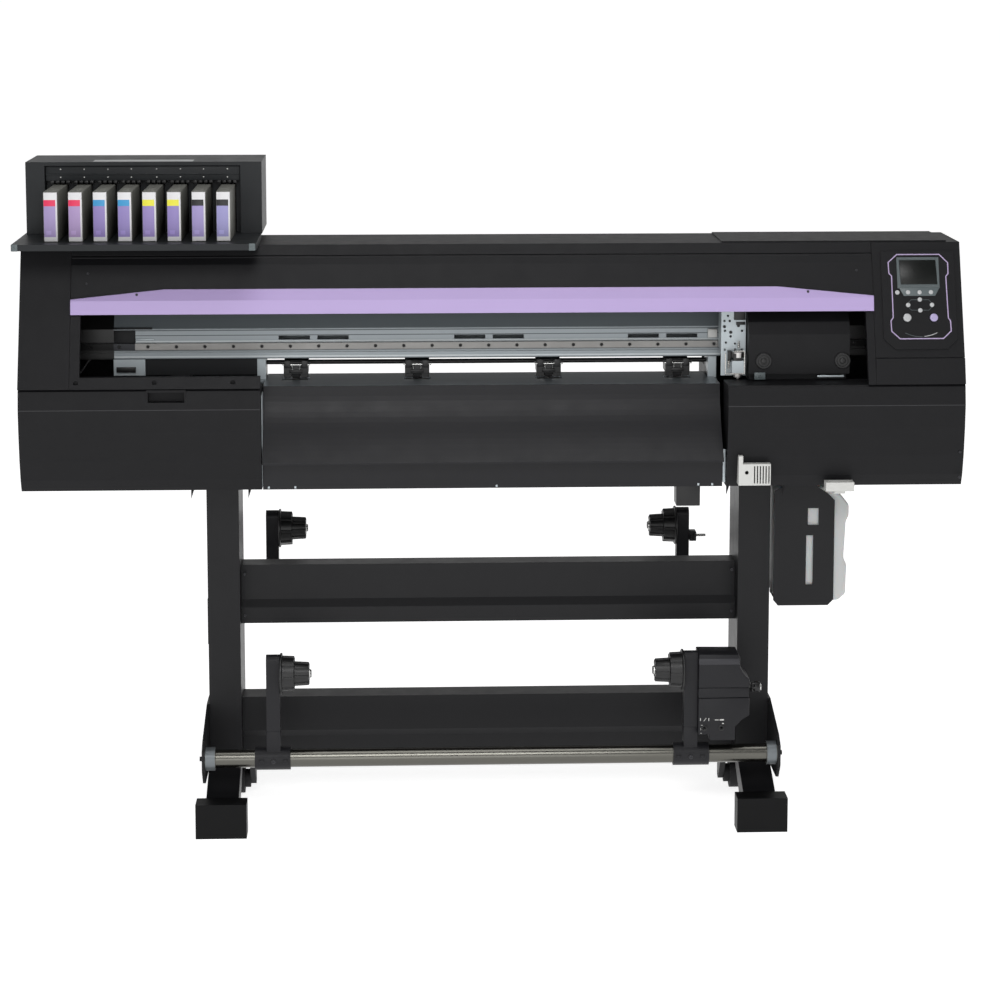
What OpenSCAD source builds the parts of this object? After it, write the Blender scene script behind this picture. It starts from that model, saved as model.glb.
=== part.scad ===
// Wide-format printer cutter on a stand. Millimetres, +X right, +Y to the back, +Z up.
// Origin: on the floor, under the middle of the whole machine.

/* [Overall] */
// Width over the ink shelf and the right end cover
total_w = 1965; // [1640:5:2360]
// Height of the stand, floor to the machine's underside
stand_h = 722; // [640:1:870]
// Height of the lower body, underside to the cover seam
lower_h = 217; // [205:1:260]
// Height of the upper body, cover seam to the top
upper_h = 287; // [280:1:345]
// How far the front bulge reaches forward of the origin
bulge_reach = 292; // [285:1:350]
// How far the top's front edge stays behind the bulge
top_setback = 102; // [85:1:122]
// How far the body's back reaches behind the origin
rear_reach = 160; // [150:1:192]
// Sheet thickness of the plastic covers
cover_wall = 4; // [3:0.5:5]
// Gap between neighbouring covers
seam_gap = 1; // [0.6:0.1:1.5]

/* [Body layout] */
// Width of the left end cover
left_end_w = 105; // [90:1:125]
// Width of the control panel cover
right_end_w = 186.5; // [175:0.5:200]
// Width of the window's side strip
strip_w = 20; // [16:1:24]
// Width of the left lower cover
lower_left_w = 497; // [470:1:520]
// Width of the right lower cover
lower_right_w = 495.5; // [470:0.5:520]
// Height of the window's bottom strip
sill_h = 24; // [18:1:30]
// Height of the right end block
end_block_h = 53; // [45:1:60]
// Height of the window's top edge above the seam
window_h = 149; // [145:1:160]

/* [Front cover] */
// Height of the coloured lip
lip_h = 50; // [40:1:55]
// How far the lip stands proud of the cover
lip_proud = 7; // [4:0.5:9]
// Radius of the rolled top edge, which the cover turns about
cover_bead_r = 4; // [3.5:0.1:5]
// Radius of the cover's hinge pins
cover_pin_r = 2.5; // [2:0.1:3]

/* [Carriage system] */
// Depth of the Y bar
bar_d = 68; // [60:1:75]
// Height of the Y bar
bar_h = 124; // [110:1:130]
// Height of the Y bar's underside above the seam
bar_clear = 36; // [34:1:42]
// Width of the linear rail
rail_w = 14; // [12:1:16]
// Depth of the linear rail
rail_d = 11; // [9:1:13]
// Width of the print carriage cover
carriage_w = 213; // [190:1:225]
// Width of the cutter carriage
cutter_w = 52; // [46:1:56]
// Radius of the tool holder
holder_r = 9; // [7:0.5:10]

/* [Media path] */
// Radius of the grit wheels
grit_r = 12; // [10:0.5:13]
// Radius of the feed shaft's journals
feed_journal_r = 6; // [5:0.5:8]
// Radius of the pinch wheels
pinch_r = 8; // [7:0.5:9]
// Width of a pinch wheel
pinch_w = 16; // [12:1:18]
// Radius of the pinch wheels' axles
pinch_axle_r = 2; // [1.6:0.1:2.4]
// Radius of the shaft that lifts the pinch arms
lift_shaft_r = 5; // [4:0.5:6]
// Radial clearance of a shaft in its bore
bore_gap = 0.06; // [0.03:0.01:0.1]

/* [Stand] */
// Width of a leg column
leg_w = 68; // [60:1:80]
// Depth of a leg column
leg_d = 150; // [130:1:160]
// Wall of the steel sections
steel_wall = 3; // [2:0.5:4]
// Half the length of a foot
foot_reach = 350; // [320:1:400]
// Width of a foot cap
cap_w = 106; // [96:1:120]
// Height of a foot cap
cap_h = 73; // [70:1:80]
// Radius of a castor wheel
castor_r = 32; // [28:1:34]
// Width of a castor's tread
castor_w = 30; // [26:1:32]

/* [Roll holders] */
// Outer radius of the two cross tubes
tube_r = 19; // [16:0.5:22]
// Wall of the cross tubes
tube_wall = 3; // [2:0.5:4]
// Width of an arm
arm_w = 28; // [24:1:32]
// Depth of an arm
arm_d = 30; // [26:1:34]
// Height of the take-up roll's axis above its tube
takeup_rise = 181.5; // [160:0.5:220]
// Height of the supply roll's axis above its tube
supply_rise = 154; // [135:1:185]
// Radius of a cone's small step, for 2 inch cores
core2_r = 25; // [24:0.1:25.3]
// Radius of a cone's large step, for 3 inch cores
core3_r = 37.5; // [36:0.1:38]
// Radius of a cone's flange
cone_flange_r = 43.6; // [42:0.1:48]
// Radius of the spindle that a cone turns on
spindle_r = 8; // [6:0.5:10]

/* [Ink] */
// Height of the ink box
ink_h = 152; // [145:1:182]
// Width of the ink box
ink_w = 495; // [480:1:520]
// Width of a cartridge
cartridge_w = 29; // [26:1:34]
// Height of a cartridge
cartridge_h = 103.5; // [90:0.5:110]
// Length of a cartridge
cartridge_l = 242; // [220:1:245]
// Distance from one cartridge to the next
cartridge_pitch = 50.4; // [46:0.1:53]
// Number of cartridges
cartridges = 8; // [8:1:8]

/* [Control panel] */
// Radius of a small key
key_r = 4.6; // [3.8:0.1:5]
// Radius of the two large keys
big_key_r = 9; // [8:0.1:10]
// How far a key stands out of the panel
key_proud = 2; // [1.5:0.1:3]

/* [Hidden] */
$fn = 64;
eps = 0.01;

// Heights
zb = stand_h;
zs = zb + lower_h;
zt = zs + upper_h;
shelf_bottom = zt + 1;
shelf_top = shelf_bottom + 13;

// Ends of the body, and of its pieces
body_l = -total_w / 2 + 4.5;
body_r = total_w / 2;
end_l = body_l + left_end_w;
end_r = body_r - right_end_w;
window_l = end_l + strip_w + seam_gap;
window_r = end_r - strip_w + 3;
open_l = body_l + lower_left_w;
open_r = body_r - lower_right_w;
guide_l = open_l + seam_gap + 1;
guide_r = open_r - 8;

// The front face leans back from the bulge to the top's front edge
bulge_y = -bulge_reach;
top_front_y = bulge_y + top_setback;
rear_y = rear_reach;
lean = top_setback / upper_h;
lean_angle = atan(lean);
function face_y(z) = bulge_y + (z - zs) * lean;
chassis_front_y = bulge_y + 89;

// Inner side plates, which carry the bar and the rollers
plate_t = 6;
post_w = 18;
plate_l = open_l - 15;
plate_r = open_r - 5;
plate_front_y = -136;
post_front_y = -112;
post_back_y = -42;

// Platen and rollers
platen_z = zs - 9;
platen_t = 5;
platen_front_y = chassis_front_y;
platen_back_y = -40;
feed_y = -110;
feed_z = platen_z - grit_r;
pinch_y = feed_y;
pinch_z = platen_z + pinch_r + 0.3;
lift_y = -70;
lift_z = platen_z + 30;
pinch_x = [-414, -157, 123, 398];
slot_w = 58;

// Y bar and what runs on it
bar_z = zs + bar_clear;
bar_front_y = -118;
bar_l = body_l + 38;
bar_r = body_r - 37.5;
rail_z = bar_z + 28;
rail_front_y = bar_front_y - rail_d;
carriage_l = end_r - 259;
carriage_front_y = -222;
carriage_back_y = -140;
carriage_bottom = zs + 13;
carriage_top = zs + 146;
base_bottom = platen_z + 5;

// Front cover
hinge_z = zt - 26;
hinge_y = face_y(hinge_z) + cover_bead_r / cos(lean_angle);
band_z = hinge_z - 13;
lip_bottom = zs + window_h;
lip_top = lip_bottom + lip_h;
crease_z = lip_bottom + lip_h * 0.56;
cover_wall_t = 3.5;
cover_l = end_l + seam_gap;
cover_r = end_r - seam_gap;

// Stand
leg_x = [-570, 561];
leg_front_y = -166;
leg_side = [1, -1];
foot_top = 130;
arch_z = 97;
cap_d = 47;
cap_wall = 6;
beam_back_y = -60;
castor_y = -45;
castor_pivot_y = -75;
castor_z = castor_r + 1;
castor_inset = 18;
kingpin_r = 6;
castor_axle_r = 5;
hub_half = 27.5;
fork_half = 40;

// Cross tubes
front_tube_y = -300;
front_tube_z = 157;
rear_tube_y = 170;
rear_tube_z = 390;
tube_l = leg_x[0] - leg_w / 2;
tube_right = leg_x[1] + leg_w / 2;
end_plate_t = 6;
clamp_wall = 5;
takeup_z = front_tube_z + takeup_rise;
supply_z = rear_tube_z + supply_rise;
takeup_left_x = -475;
takeup_right_x = 398;
supply_left_x = -496;
supply_right_x = 429;

// Ink
ink_l = body_l;
ink_r = ink_l + ink_w;
ink_front_y = -97;
ink_back_y = 90;
ink_wall = 3;
ink_top = shelf_top + ink_h;
shelf_l = -total_w / 2;
shelf_r = ink_r - 2;
shelf_front_y = -300;
first_cartridge_x = ink_l + 71;
cartridge_front_y = -252;

// Control panel, measured along the leaning face from the seam
panel_face_dy = -4;
small_key_v = 197;
soft_key_x = [end_r + 72.4, end_r + 96.6, end_r + 120.6];
select_key_x = end_r + 50;
jog_x = end_r + 96.6;
jog_v = 170;
jog_half_w = 25;
jog_half_h = 11.5;
big_key_v = 143;
enter_x = end_r + 68.7;
power_x = end_r + 124.7;
screen_x = [end_r + 55, end_r + 135.5];
screen_v = [212, 266];

CARTRIDGES = [for (i = [1:cartridges]) str("cartridge_", i)];

// ---------- helpers ----------

// A block between two corners
module block(lo, hi) {
    translate(lo)
        cube(hi - lo);
}

// A profile of [y, z] points, drawn out from x0 to x1
module prism(points, x0, x1) {
    translate([x0, 0, 0])
        rotate([90, 0, 90])
            linear_extrude(x1 - x0)
                polygon(points);
}

// A round bar along X
module rod_x(x0, x1, y, z, r) {
    translate([x0, y, z])
        rotate([0, 90, 0])
            cylinder(r = r, h = x1 - x0);
}

// A counter-clockwise outline moved inwards by t
function side_normal(p, q) = [q[1] - p[1], p[0] - q[0]] / norm(q - p);
function inset(p, t) = [
    for (i = [0:len(p) - 1])
        let (n = len(p))
        let (a = side_normal(p[(i + n - 1) % n], p[i]))
        let (b = side_normal(p[i], p[(i + 1) % n]))
        p[i] - t * (a + b) / (1 + a * b)
];

// A drawn-out shell, with an end wall of the given thickness at each end, or 0 for an open end
module shell(points, wall, x0, x1, wall0, wall1) {
    difference() {
        prism(points, x0, x1);
        prism(inset(points, wall), x0 + (wall0 > 0 ? wall0 : -1), x1 - (wall1 > 0 ? wall1 : -1));
    }
}

// Places things on the leaning panel face: X as is, Y up the face, Z out of the face
module on_face() {
    translate([0, face_y(zs) + panel_face_dy, zs])
        rotate([90 - lean_angle, 0, 0])
            children();
}

// ---------- body profiles, as [y, z] ----------

function upper_profile(z0, proud) = [
    [face_y(z0) - proud, z0],
    [rear_y, z0],
    [rear_y, zt - 76],
    [0, zt],
    [face_y(zt), zt],
    [face_y(zt - 6) - proud, zt - 6]
];
function lower_profile() = [
    [bulge_y + 30, zb],
    [chassis_front_y - seam_gap, zb],
    [chassis_front_y - seam_gap, zs - seam_gap],
    [bulge_y + 10, zs - seam_gap],
    [bulge_y + 6, zs - 5],
    [bulge_y, zs - 43],
    [bulge_y + 2, zs - 90],
    [bulge_y + 9, zs - 150],
    [bulge_y + 19, zs - 193]
];

// ---------- stand ----------

module legs() {
    color([0.17, 0.17, 0.18])
        for (x = leg_x)
            difference() {
                block([x - leg_w / 2, leg_front_y, foot_top], [x + leg_w / 2, leg_front_y + leg_d, zb]);
                block([x - leg_w / 2 + steel_wall, leg_front_y + steel_wall, foot_top - 1],
                      [x + leg_w / 2 - steel_wall, leg_front_y + leg_d - steel_wall, zb + 1]);
            }
}

foot_y = foot_reach - 5;
foot_ridge = [
    [foot_y, 58],
    [foot_reach - cap_d, 66],
    [40, foot_top],
    [leg_front_y - 10, foot_top],
    [-200, 113],
    [-foot_reach + cap_d, 66],
    [-foot_y, 58]
];
foot_outline = concat([[-foot_y, cap_wall], [foot_y, cap_wall]], foot_ridge);
foot_arch = [[-288, cap_wall - 1], [288, cap_wall - 1], [40, arch_z], [-150, arch_z]];

// A foot is a channel, open below, with an arch over the castor's plate
module foot(x, side) {
    plate_in = x + side * (leg_w / 2 + 31);
    plate_out = x - side * leg_w / 2;
    difference() {
        prism(foot_outline, x - leg_w / 2, x + leg_w / 2);
        prism(inset(concat([[-foot_y, -20], [foot_y, -20]], foot_ridge), steel_wall),
              x - leg_w / 2 + steel_wall, x + leg_w / 2 - steel_wall);
        prism(foot_arch, x - leg_w / 2 - 1, x + leg_w / 2 + 1);
    }
    // castor plate, hung under the channel's inner edge
    difference() {
        block([min(plate_in, plate_out), castor_pivot_y - 45, arch_z - steel_wall],
              [max(plate_in, plate_out), castor_pivot_y + 45, arch_z]);
        translate([x + side * castor_inset, castor_pivot_y, arch_z - 10])
            cylinder(r = kingpin_r + bore_gap, h = 20);
    }
}

module feet() {
    color([0.17, 0.17, 0.18])
        for (i = [0, 1])
            foot(leg_x[i], leg_side[i]);
}

module foot_cap(x, y0, y1) {
    difference() {
        block([x - cap_w / 2, y0, 0], [x + cap_w / 2, y1, cap_h]);
        block([x - leg_w / 2, -foot_y, cap_wall], [x + leg_w / 2, foot_y, cap_h - 7 + eps]);
    }
}

module foot_caps() {
    color([0.16, 0.16, 0.165])
        for (x = leg_x) {
            foot_cap(x, -foot_reach, -foot_reach + cap_d);
            foot_cap(x, foot_reach - cap_d, foot_reach);
        }
}

upper_beam = [[-126, 402], [beam_back_y, 402], [beam_back_y, 527], [-114, 527], [-114, 452], [-126, 436]];
lower_beam = [[-112, 112], [beam_back_y, 112], [beam_back_y, 238], [-122, 238], [-122, 163], [-112, 148]];

module stand_beams() {
    color([0.17, 0.17, 0.18])
        for (p = [upper_beam, lower_beam])
            shell(p, steel_wall, leg_x[0] + leg_w / 2, leg_x[1] - leg_w / 2, 0, 0);
}

module cross_tube(y, z) {
    difference() {
        rod_x(tube_l, tube_right, y, z, tube_r);
        rod_x(tube_l - 1, tube_right + 1, y, z, tube_r - tube_wall);
    }
}

module tube_collar(x, y, z) {
    difference() {
        rod_x(x, x + 22, y, z, tube_r + 5);
        rod_x(x - 1, x + 23, y, z, tube_r);
    }
}

front_plate = [[-326, 136], [-300, 104], [-190, 104], [-100, 134], [-100, 236], [-166, 236], [-300, 196],
    [-326, 178]];
rear_plate = [[-100, 350], [150, 355], [194, 370], [194, 412], [150, 428], [-100, 450]];

module end_plates(points, y, z) {
    for (s = [0, 1]) {
        x0 = s == 0 ? tube_l - end_plate_t : tube_right;
        prism(points, x0, x0 + end_plate_t);
        rod_x(s == 0 ? x0 - 6 : x0 + end_plate_t, s == 0 ? x0 : x0 + end_plate_t + 6, y, z, 5);
    }
}

module roll_tubes() {
    color([0.78, 0.77, 0.74]) {
        cross_tube(front_tube_y, front_tube_z);
        cross_tube(rear_tube_y, rear_tube_z);
    }
    color([0.62, 0.66, 0.68]) {
        tube_collar(tube_l, front_tube_y, front_tube_z);
        tube_collar(tube_right - 22, front_tube_y, front_tube_z);
    }
    color([0.1, 0.1, 0.1]) {
        end_plates(front_plate, front_tube_y, front_tube_z);
        end_plates(rear_plate, rear_tube_y, rear_tube_z);
    }
}

module castor_fork(i) {
    x = leg_x[i] + leg_side[i] * castor_inset;
    color([0.12, 0.12, 0.12])
        difference() {
            union() {
                translate([x, castor_pivot_y, arch_z - steel_wall - 6])
                    cylinder(r = 24, h = 5.5);
                translate([x, castor_pivot_y, arch_z - steel_wall - 6])
                    cylinder(r = kingpin_r, h = 14);
                block([x - fork_half, castor_pivot_y - 22, castor_z + castor_r + 14],
                      [x + fork_half, castor_y + 14, arch_z - steel_wall - 5]);
                for (s = [-1, 1])
                    hull() {
                        rod_x(x + s * (hub_half + fork_half) / 2 - 6, x + s * (hub_half + fork_half) / 2 + 6,
                              castor_y, castor_z, 12);
                        block([x + s * (hub_half + fork_half) / 2 - 6, castor_pivot_y - 20,
                               castor_z + castor_r + 14],
                              [x + s * (hub_half + fork_half) / 2 + 6, castor_y + 14,
                               castor_z + castor_r + 16]);
                    }
            }
            rod_x(x - 50, x + 50, castor_y, castor_z, castor_axle_r + bore_gap);
        }
}

module castor_wheel(i) {
    x = leg_x[i] + leg_side[i] * castor_inset;
    color([0.08, 0.08, 0.08]) {
        rod_x(x - castor_w / 2, x + castor_w / 2, castor_y, castor_z, castor_r);
        rod_x(x - hub_half, x + hub_half, castor_y, castor_z, 20);
        rod_x(x - fork_half, x + fork_half, castor_y, castor_z, castor_axle_r);
    }
}

// ---------- roll holders ----------

// An arm clamped round a cross tube, with a spindle that points towards the roll
module roll_arm(x, side, y, z, rise, clamp_out, clamp_in, spindle_l) {
    face = side > 0 ? x + arm_w : x;
    difference() {
        union() {
            rod_x(x - clamp_out, x + arm_w + clamp_in, y, z, tube_r + clamp_wall);
            block([x, y - arm_d / 2, z], [x + arm_w, y + arm_d / 2, z + rise + 26]);
            rod_x(x, x + arm_w, y, z + rise + 26, arm_d / 2);
            rod_x(min(face, face + side * spindle_l), max(face, face + side * spindle_l), y, z + rise, spindle_r);
        }
        rod_x(x - 99, x + arm_w + 99, y, z, tube_r + bore_gap);
    }
}

module takeup_arm_left() {
    color([0.2, 0.2, 0.21])
        roll_arm(takeup_left_x, 1, front_tube_y, front_tube_z, takeup_rise, 25, 21, 66);
}

module takeup_arm_right() {
    color([0.2, 0.2, 0.21])
        roll_arm(takeup_right_x, -1, front_tube_y, front_tube_z, takeup_rise, 22, 25, 66);
}

module supply_arm_left() {
    color([0.2, 0.2, 0.21])
        roll_arm(supply_left_x, 1, rear_tube_y, rear_tube_z, supply_rise, 20, 20, 66);
}

module supply_arm_right() {
    color([0.2, 0.2, 0.21])
        roll_arm(supply_right_x, -1, rear_tube_y, rear_tube_z, supply_rise, 20, 20, 66);
}

// A stepped core holder that turns on a spindle
module cone(face, side, y, z) {
    color([0.13, 0.13, 0.13])
        translate([face + side * 0.5, y, z])
            rotate([0, side * 90, 0])
                difference() {
                    union() {
                        cylinder(r = cone_flange_r, h = 6);
                        cylinder(r = core3_r, h = 31);
                        cylinder(r = core2_r, h = 62);
                    }
                    translate([0, 0, -1])
                        cylinder(r = spindle_r + bore_gap, h = 64);
                }
}

module takeup_cone_left() {
    cone(takeup_left_x + arm_w, 1, front_tube_y, takeup_z);
}

module takeup_cone_right() {
    cone(takeup_right_x, -1, front_tube_y, takeup_z);
}

module supply_cone_left() {
    cone(supply_left_x + arm_w, 1, rear_tube_y, supply_z);
}

module supply_cone_right() {
    cone(supply_right_x, -1, rear_tube_y, supply_z);
}

// The take-up motor's housing, outlined as [x from the arm, z from the roll's axis]
motor_x = takeup_right_x + arm_w;
motor_front_y = front_tube_y - 30;
motor_back_y = front_tube_y + 36;
motor_outline = [[0, -144], [78, -145], [78, -116], [92, -100], [107, -92], [107, -14], [96, -4], [87, 12],
    [87, 33], [0, 40]];
switch_x = [motor_x + 13, motor_x + 49];
switch_z = takeup_z - 118;
switch_y = motor_front_y + 3;
knob_z = takeup_z - 38.5;
knob_x = motor_x + 107;

module takeup_motor() {
    color([0.22, 0.22, 0.225])
        difference() {
            translate([motor_x, motor_back_y, takeup_z])
                rotate([90, 0, 0])
                    linear_extrude(motor_back_y - motor_front_y)
                        polygon(motor_outline);
            for (x = switch_x)
                translate([x, motor_front_y - 1, switch_z])
                    rotate([-90, 0, 0])
                        cylinder(r = 4.4, h = 10);
            rod_x(knob_x - 20, knob_x + 1, front_tube_y, knob_z, 4 + bore_gap);
            // the arm's clamp passes below the housing
            rod_x(motor_x - 1, motor_x + 60, front_tube_y, front_tube_z, tube_r + clamp_wall + 2);
        }
}

module motor_knob() {
    color([0.1, 0.1, 0.1]) {
        rod_x(knob_x - 18, knob_x + 8, front_tube_y, knob_z, 4);
        difference() {
            rod_x(knob_x + 6, knob_x + 28, front_tube_y, knob_z, 12);
            for (a = [0:60:300])
                translate([knob_x + 5, front_tube_y, knob_z])
                    rotate([a, 0, 0])
                        translate([0, 0, 14])
                            rotate([0, 90, 0])
                                cylinder(r = 4, h = 24, $fn = 24);
        }
    }
}

module motor_switches() {
    color([0.08, 0.08, 0.08])
        for (x = switch_x)
            translate([x, switch_y, switch_z]) {
                rotate([0, 90, 0])
                    cylinder(r = 4, h = 3, center = true, $fn = 32);
                rotate([90, 0, 0])
                    cylinder(r = 2, h = 14);
            }
}

// ---------- waste ink ----------

bracket_x0 = tube_right + end_plate_t + 1;
bracket_x1 = bracket_x0 + 129;
bracket_y = -178;
bracket_top = zb;
bracket_bottom = zb - 279;
bottle_x0 = bracket_x0 + 4;
bottle_x1 = bracket_x0 + 162;
bottle_y0 = bracket_y + 4;
bottle_y1 = -60;
bottle_z0 = bracket_bottom + 8.5;
bottle_z1 = zb - 22;

module bottle_bracket() {
    color([0.2, 0.2, 0.21])
        difference() {
            union() {
                translate([0, bracket_y + 3, 0])
                    rotate([90, 0, 0])
                        linear_extrude(3)
                            polygon([[bracket_x0, bracket_bottom + 12], [bracket_x0 + 10, bracket_bottom],
                                [bracket_x1 - 12, bracket_bottom], [bracket_x1, bracket_bottom + 12],
                                [bracket_x1, bracket_top - 50], [bracket_x1 - 14, bracket_top - 36],
                                [bracket_x1 - 38, bracket_top - 20], [bracket_x1 - 38, bracket_top],
                                [bracket_x0 + 30, bracket_top], [bracket_x0 + 30, bracket_top - 12],
                                [bracket_x0, bracket_top - 30]]);
                block([bracket_x0 + 30, bracket_y, bracket_top - 3], [bracket_x1 - 38, bracket_y + 30, bracket_top]);
                block([bracket_x0 + 10, bracket_y, bracket_bottom],
                      [bracket_x1 - 12, bottle_y1 + 8, bracket_bottom + 8]);
                block([bracket_x0 + 10, bottle_y1 + 3, bracket_bottom],
                      [bracket_x1 - 12, bottle_y1 + 8, bracket_bottom + 60]);
            }
            block([bracket_x0 + 72, bracket_y - 1, zb - 104], [bracket_x0 + 95, bracket_y + 4, zb - 67]);
            block([bracket_x0 + 69, bracket_y - 1, zb - 234], [bracket_x0 + 84, bracket_y + 4, zb - 126]);
        }
}

module waste_bottle() {
    color([0.9, 0.9, 0.88])
        difference() {
            block([bottle_x0, bottle_y0, bottle_z0], [bottle_x1, bottle_y1, bottle_z1]);
            // hand grip
            block([bottle_x1 - 8, bottle_y0 - 1, bottle_z0 + 95], [bottle_x1 + 1, bottle_y1 + 1, bottle_z1 - 60]);
        }
}

// ---------- body ----------

module leg_gusset(x) {
    translate([x, leg_front_y - 20, zb])
        rotate([90, 0, 0])
            linear_extrude(3)
                polygon([[0, 0], [0, -34], [11, 0]]);
}

lever_x0 = body_r - 290.5;
lever_x1 = lever_x0 + 59;
lever_pivot_y = -160;
lever_pivot_z = zb - 9;

module base_frame() {
    color([0.3, 0.31, 0.32])
        difference() {
            union() {
                // bottom pan, end walls and back walls
                block([body_l, chassis_front_y, zb], [body_r, rear_y, zb + 3]);
                block([body_l, chassis_front_y, zb], [body_l + 3, rear_y, zs - seam_gap]);
                block([body_r - 3, chassis_front_y, zb], [body_r, rear_y, zs - seam_gap]);
                block([body_l, rear_y - 3, zb], [plate_l, rear_y, zs - seam_gap]);
                block([plate_r, rear_y - 3, zb], [body_r, rear_y, zs - seam_gap]);
                block([plate_l, rear_y - 3, zb], [plate_r, rear_y, zb + 110]);
                // side plates with the posts under the bar
                block([plate_l, plate_front_y, zb], [plate_l + plate_t, rear_y, platen_z - 2]);
                block([plate_r - plate_t, plate_front_y, zb], [plate_r, rear_y, platen_z - 2]);
                block([plate_l, post_front_y, zb], [plate_l + post_w, post_back_y, bar_z]);
                block([plate_r - post_w, post_front_y, zb], [plate_r, post_back_y, bar_z]);
                // end posts under the bar
                block([bar_l + 10, post_front_y, zb], [bar_l + 16, post_back_y, bar_z]);
                block([bar_r - 16, post_front_y, zb], [bar_r - 10, post_back_y, bar_z]);
                for (x = [leg_x[0] - 64, leg_x[0] + 56, leg_x[1] - 64, leg_x[1] + 56])
                    leg_gusset(x);
                // lever ears
                for (x = [lever_x0 + 4, lever_x1 - 12])
                    block([x, lever_pivot_y - 10, zb - 19], [x + 8, lever_pivot_y + 10, zb + 1]);
            }
            rod_x(plate_l - 1, plate_r + 1, feed_y, feed_z, feed_journal_r + bore_gap);
            rod_x(plate_l - 1, plate_r + 1, lift_y, lift_z, lift_shaft_r + bore_gap);
            rod_x(lever_x0, lever_x1, lever_pivot_y, lever_pivot_z, 4 + bore_gap);
        }
}

// An inner lug that holds one end of the front cover's hinge
module hinge_lug(x0, z0) {
    intersection() {
        prism(upper_profile(z0, 0), x0, x0 + cover_wall);
        block([x0, hinge_y - 22, hinge_z - 26], [x0 + cover_wall, hinge_y + 30, zt]);
    }
}

// The strip beside the window, and the sill below it
module window_strip(x0, x1, z0, z1) {
    prism([[face_y(z0), z0], [face_y(z0) + 14, z0], [face_y(z1) + 14, z1], [face_y(z1), z1]], x0, x1);
}

module side_cover_left() {
    color([0.18, 0.18, 0.19])
        difference() {
            union() {
                shell(upper_profile(zs + seam_gap / 2, 0), cover_wall, body_l, end_l, cover_wall, 0);
                hinge_lug(end_l - cover_wall, zs + seam_gap / 2);
            }
            rod_x(end_l - cover_wall - 1, end_l + 1, hinge_y, hinge_z, cover_pin_r + bore_gap);
            // slot for the post under the bar's end
            block([bar_l + 8, post_front_y - 2, zs], [bar_l + 18, post_back_y + 2, zs + cover_wall + 3]);
        }
    color([0.2, 0.2, 0.21]) {
        window_strip(end_l + 0.5, window_l, zs + sill_h - eps, lip_bottom - 2);
        difference() {
            window_strip(end_l + 0.5, open_l, zs + seam_gap / 2, zs + sill_h);
            for (x = [end_l + 14, end_l + 175, end_l + 336])
                translate([x, face_y(zs + 13) - 1, zs + 13])
                    rotate([-90, 0, 0])
                        cylinder(r = 5, h = 8);
        }
    }
}

module side_cover_right() {
    z0 = zs + seam_gap / 2;
    z1 = zs + end_block_h;
    color([0.18, 0.18, 0.19]) {
        difference() {
            prism([[face_y(z0) + 2, z0], [rear_y, z0], [rear_y, z1], [face_y(z1) - 2, z1]], end_r, body_r);
            prism([[face_y(z0) + 2 + cover_wall, z0 - 1], [rear_y - cover_wall, z0 - 1],
                   [rear_y - cover_wall, z1 + 1], [face_y(z1) - 2 + cover_wall, z1 + 1]],
                  end_r - 1, body_r - cover_wall);
        }
    }
    color([0.2, 0.2, 0.21])
        window_strip(window_r, end_r - seam_gap / 2, z0, lip_bottom - 2);
}

// A round or slotted hole through the panel's face
module key_hole(x, v, r) {
    on_face()
        translate([x, v, -cover_wall - 6])
            cylinder(r = r + 0.35, h = cover_wall + 12);
}

module panel_cover() {
    z0 = zs + end_block_h + seam_gap;
    color([0.18, 0.18, 0.19])
        difference() {
            union() {
                shell(upper_profile(z0, 0), cover_wall, end_r, body_r, 0, cover_wall);
                // raised face round the keys
                on_face()
                    translate([0, 0, -cover_wall - 2])
                        linear_extrude(cover_wall + 2)
                            polygon([[end_r + 42, 76], [body_r - 36, 76], [body_r - 14, 98],
                                [body_r - 14, 285], [end_r + 18, 285], [end_r + 18, 98]]);
                hinge_lug(end_r, z0);
            }
            rod_x(end_r - 1, end_r + cover_wall + 1, hinge_y, hinge_z, cover_pin_r + bore_gap);
            // the bar's end passes through the floor
            block([end_r - 1, rail_front_y - 3, z0 - 1], [bar_r + 4, post_back_y, z0 + cover_wall + 1]);
            // recess for the display
            on_face()
                translate([screen_x[0] - 4, screen_v[0] - 6, -3])
                    cube([screen_x[1] - screen_x[0] + 8, screen_v[1] - screen_v[0] + 12, 20]);
            key_hole(select_key_x, small_key_v, key_r);
            for (x = soft_key_x)
                key_hole(x, small_key_v, key_r);
            for (d = [[0, 1], [0, -1], [1, 0], [-1, 0]])
                key_hole(jog_x + d[0] * jog_half_w, jog_v + d[1] * jog_half_h, key_r);
            key_hole(enter_x, big_key_v, big_key_r);
            key_hole(power_x, big_key_v, big_key_r);
        }
}

module display() {
    color([0.35, 0.36, 0.37])
        on_face() {
            translate([screen_x[0] - 4, screen_v[0] - 6, -3])
                cube([screen_x[1] - screen_x[0] + 8, screen_v[1] - screen_v[0] + 12, 3.6]);
        }
}

// A key: a cap that shows, and a flange behind the panel that keeps it from falling out
module key(x, v, r) {
    on_face()
        translate([x, v, -11]) {
            cylinder(r = r + 1.5, h = 2.6);
            cylinder(r = r, h = 11 + key_proud);
        }
}

module select_key() {
    color([0.7, 0.7, 0.7])
        key(select_key_x, small_key_v, key_r);
}

// The three keys under the display are one moulded strip
module soft_keys() {
    color([0.7, 0.7, 0.7]) {
        for (x = soft_key_x)
            key(x, small_key_v, key_r);
        on_face()
            translate([soft_key_x[0] - key_r, small_key_v - key_r, -12])
                cube([soft_key_x[2] - soft_key_x[0] + 2 * key_r, 2 * key_r, 3.5]);
    }
}

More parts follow.
